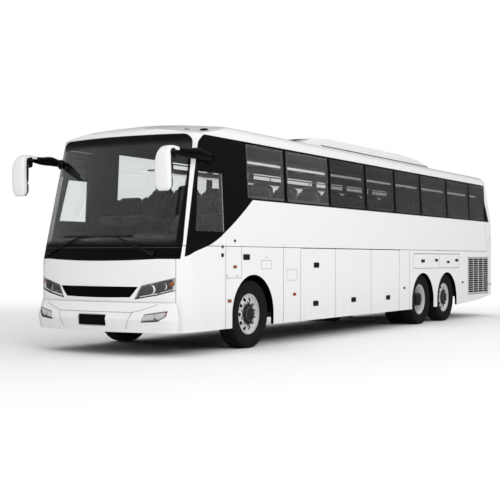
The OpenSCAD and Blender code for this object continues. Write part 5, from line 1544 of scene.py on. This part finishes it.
# %% Tail lamps
DISH = [(POINT, -0.03), (0.03, -0.028), (0.05, -0.02), (0.055, -0.004), (0.055, 0.01)]
DISH_FRAME = [(0.066, 0.0), (0.066, -0.01), (0.06, -0.014), (0.054, -0.008)]
TAIL_LAMP_Y = 1.035
lamps_red, lamps_amber, lamps_white, lamp_frames = [], [], [], []
T0 = low("red_lamps")
for side in (1, -1):
    y = side * TAIL_LAMP_Y
    for z, group in ((0.80, lamps_red), (0.94, lamps_amber), (1.08, lamps_white), (1.22, lamps_red),
                     (1.36, lamps_red)):
        group.append(turned_x(DISH, (T0.x + 0.012, y, z)))
        lamp_frames.append(turned_x(DISH_FRAME, (T0.x + 0.006, y, z)))
mesh("tail_lamps_red", *joined(lamps_red), red)
mesh("tail_lamps_amber", *joined(lamps_amber), amber)
mesh("tail_lamps_clear", *joined(lamps_white), alloy)
mesh("tail_lamp_frames", *joined(lamp_frames), nickel)
print(len(lamp_frames), "tail lamps")

# %% [markdown]
# ## Studio
# The photograph is a cut-out on white. A pale floor and a white surround match it. Gloss black would turn
# grey if it mirrored that white, so the surround only looks white to the camera and through glass. For
# reflections and for light it is a soft dome that is dim at the horizon and bright overhead, and large soft
# boxes light the sides. The floor fades into the surround some metres away, like the curved paper of a photo
# studio.

# %% Floor
FLOOR_HALF = 300.0
FLOOR_MIRRORED = 0.85       # how much of the floor's own light is kept out of reflections
SHADOW_NEAR, SHADOW_FAR = 7.5, 15.0
floor_mat, tree, b = finish("Pale floor", (0.9, 0.9, 0.9), (0.85, 0.95), 0.3, Specular_IOR_Level=0.0)
pos, p, n = parts_of(tree)
away = sums(tree, "SQRT", sums(tree, "ADD", sums(tree, "POWER", p[0], 2.0), sums(tree, "POWER", p[1], 2.0)))
fade = ranged(tree, away, SHADOW_NEAR, SHADOW_FAR, interpolation_type="SMOOTHSTEP")
path = node(tree, "LightPath")
white = node(tree, "Emission", {"Color": (1, 1, 1, 1), "Strength": 1.0}).outputs[0]
dim = node(tree, "Emission", {"Color": (0.03, 0.03, 0.03, 1), "Strength": 1.0}).outputs[0]
faded = sums(tree, "MULTIPLY", fade, path.outputs["Is Camera Ray"])
paper = mixed(tree, faded, b.outputs[0], white)
mirrored = sums(tree, "MULTIPLY", path.outputs["Is Glossy Ray"], FLOOR_MIRRORED)
tree.links.new(mixed(tree, mirrored, paper, dim), tree.nodes["Material Output"].inputs["Surface"])
floor = bpy.data.meshes.new("floor")
corners = [(x * FLOOR_HALF, y * FLOOR_HALF, 0) for x, y in ((-1, -1), (1, -1), (1, 1), (-1, 1))]
floor.from_pydata(corners, [], [[0, 1, 2, 3]])
floor.materials.append(floor_mat)
floor_ob = bpy.data.objects.new("floor", floor)
bpy.context.scene.collection.objects.link(floor_ob)
print("floor fades from", SHADOW_NEAR, "to", SHADOW_FAR, "m")

# %% Surround
DOME, DOME_MIRRORED = 0.9, 0.3
world = bpy.data.worlds.new("Studio dome")
bpy.context.scene.world = world
world.use_nodes = True
t = world.node_tree
dome = t.nodes["Background"]
up = node(t, "SeparateXYZ", {0: node(t, "TexCoord").outputs["Generated"]}).outputs[2]
ramp = node(t, "ValToRGB", {"Fac": up})
horizon, overhead = ramp.color_ramp.elements
horizon.position, horizon.color = 0.05, (0.1, 0.102, 0.105, 1)
overhead.position, overhead.color = 0.75, (1, 1, 1, 1)
t.links.new(ramp.outputs[0], dome.inputs["Color"])
seen = node(t, "Background", {"Color": (1, 1, 1, 1), "Strength": 1.0})
path = node(t, "LightPath")
direct = sums(t, "MAXIMUM", path.outputs["Is Camera Ray"], path.outputs["Is Transmission Ray"])
strength = sums(t, "MULTIPLY_ADD", path.outputs["Is Glossy Ray"], DOME_MIRRORED - DOME, DOME)
t.links.new(strength, dome.inputs["Strength"])
t.links.new(mixed(t, direct, dome.outputs[0], seen.outputs[0]), t.nodes["World Output"].inputs["Surface"])
print("surround", world.name, "of strength", DOME)


# %% Soft boxes
def soft_box(name, place_at, look_at, size, watts):
    light = bpy.data.lights.new(name, "AREA")
    light.shape, light.size, light.size_y, light.energy = "RECTANGLE", size[0], size[1], watts
    ob = bpy.data.objects.new(name, light)
    bpy.context.scene.collection.objects.link(ob)
    ob.location = place_at
    ob.visible_glossy = False
    ob.rotation_euler = (Vector(look_at) - Vector(place_at)).to_track_quat("-Z", "Y").to_euler()


soft_box("key", (13, 13, 9), (2, 0, 1.5), (9, 7), 800)
soft_box("front", (19, -2, 5), (5, 0, 1.5), (7, 5), 260)
soft_box("side", (-5, 17, 9), (-3, 0, 1.5), (12, 6), 950)
soft_box("back", (-15, -9, 8), (-4, 0, 1.5), (9, 6), 600)
print(len(bpy.data.lights), "soft boxes")

# %% [markdown]
# ## Camera
# Fitted to about fifty points of the photograph: the wheels, the window corners and the seams. Its place, its
# direction and its lens come from that fit, so the coach falls where it is in the photo.

# %% Camera
FOCAL_PX, IMAGE_PX, SENSOR = 1019.7, 500, 36.0
YAW, NOD, ROLL = (math.radians(a) for a in (211.78, 0.43, 0.14))
AHEAD, LEFT, EYE = 12.782, 9.149, 1.331     # from the front axle, from the middle line, above the ground
cam_data = bpy.data.cameras.new("camera")
cam_data.sensor_width = SENSOR
cam_data.lens = FOCAL_PX / IMAGE_PX * SENSOR
cam = bpy.data.objects.new("camera", cam_data)
bpy.context.scene.collection.objects.link(cam)
bpy.context.scene.camera = cam
forward = Vector((math.cos(YAW) * math.cos(NOD), math.sin(YAW) * math.cos(NOD), math.sin(NOD)))
right = Vector((math.sin(YAW), -math.cos(YAW), 0))
above_cam = right.cross(forward)
tilt_r = right * math.cos(ROLL) + above_cam * math.sin(ROLL)
tilt_u = above_cam * math.cos(ROLL) - right * math.sin(ROLL)
turn = Matrix((tilt_r, tilt_u, -forward)).transposed().to_4x4()
cam.matrix_world = Matrix.Translation((FRONT + AHEAD, LEFT, EYE)) @ turn
cam_data.clip_end = 1000
bpy.context.scene.view_settings.view_transform = "Standard"
print("camera", [round(v, 3) for v in cam.location])
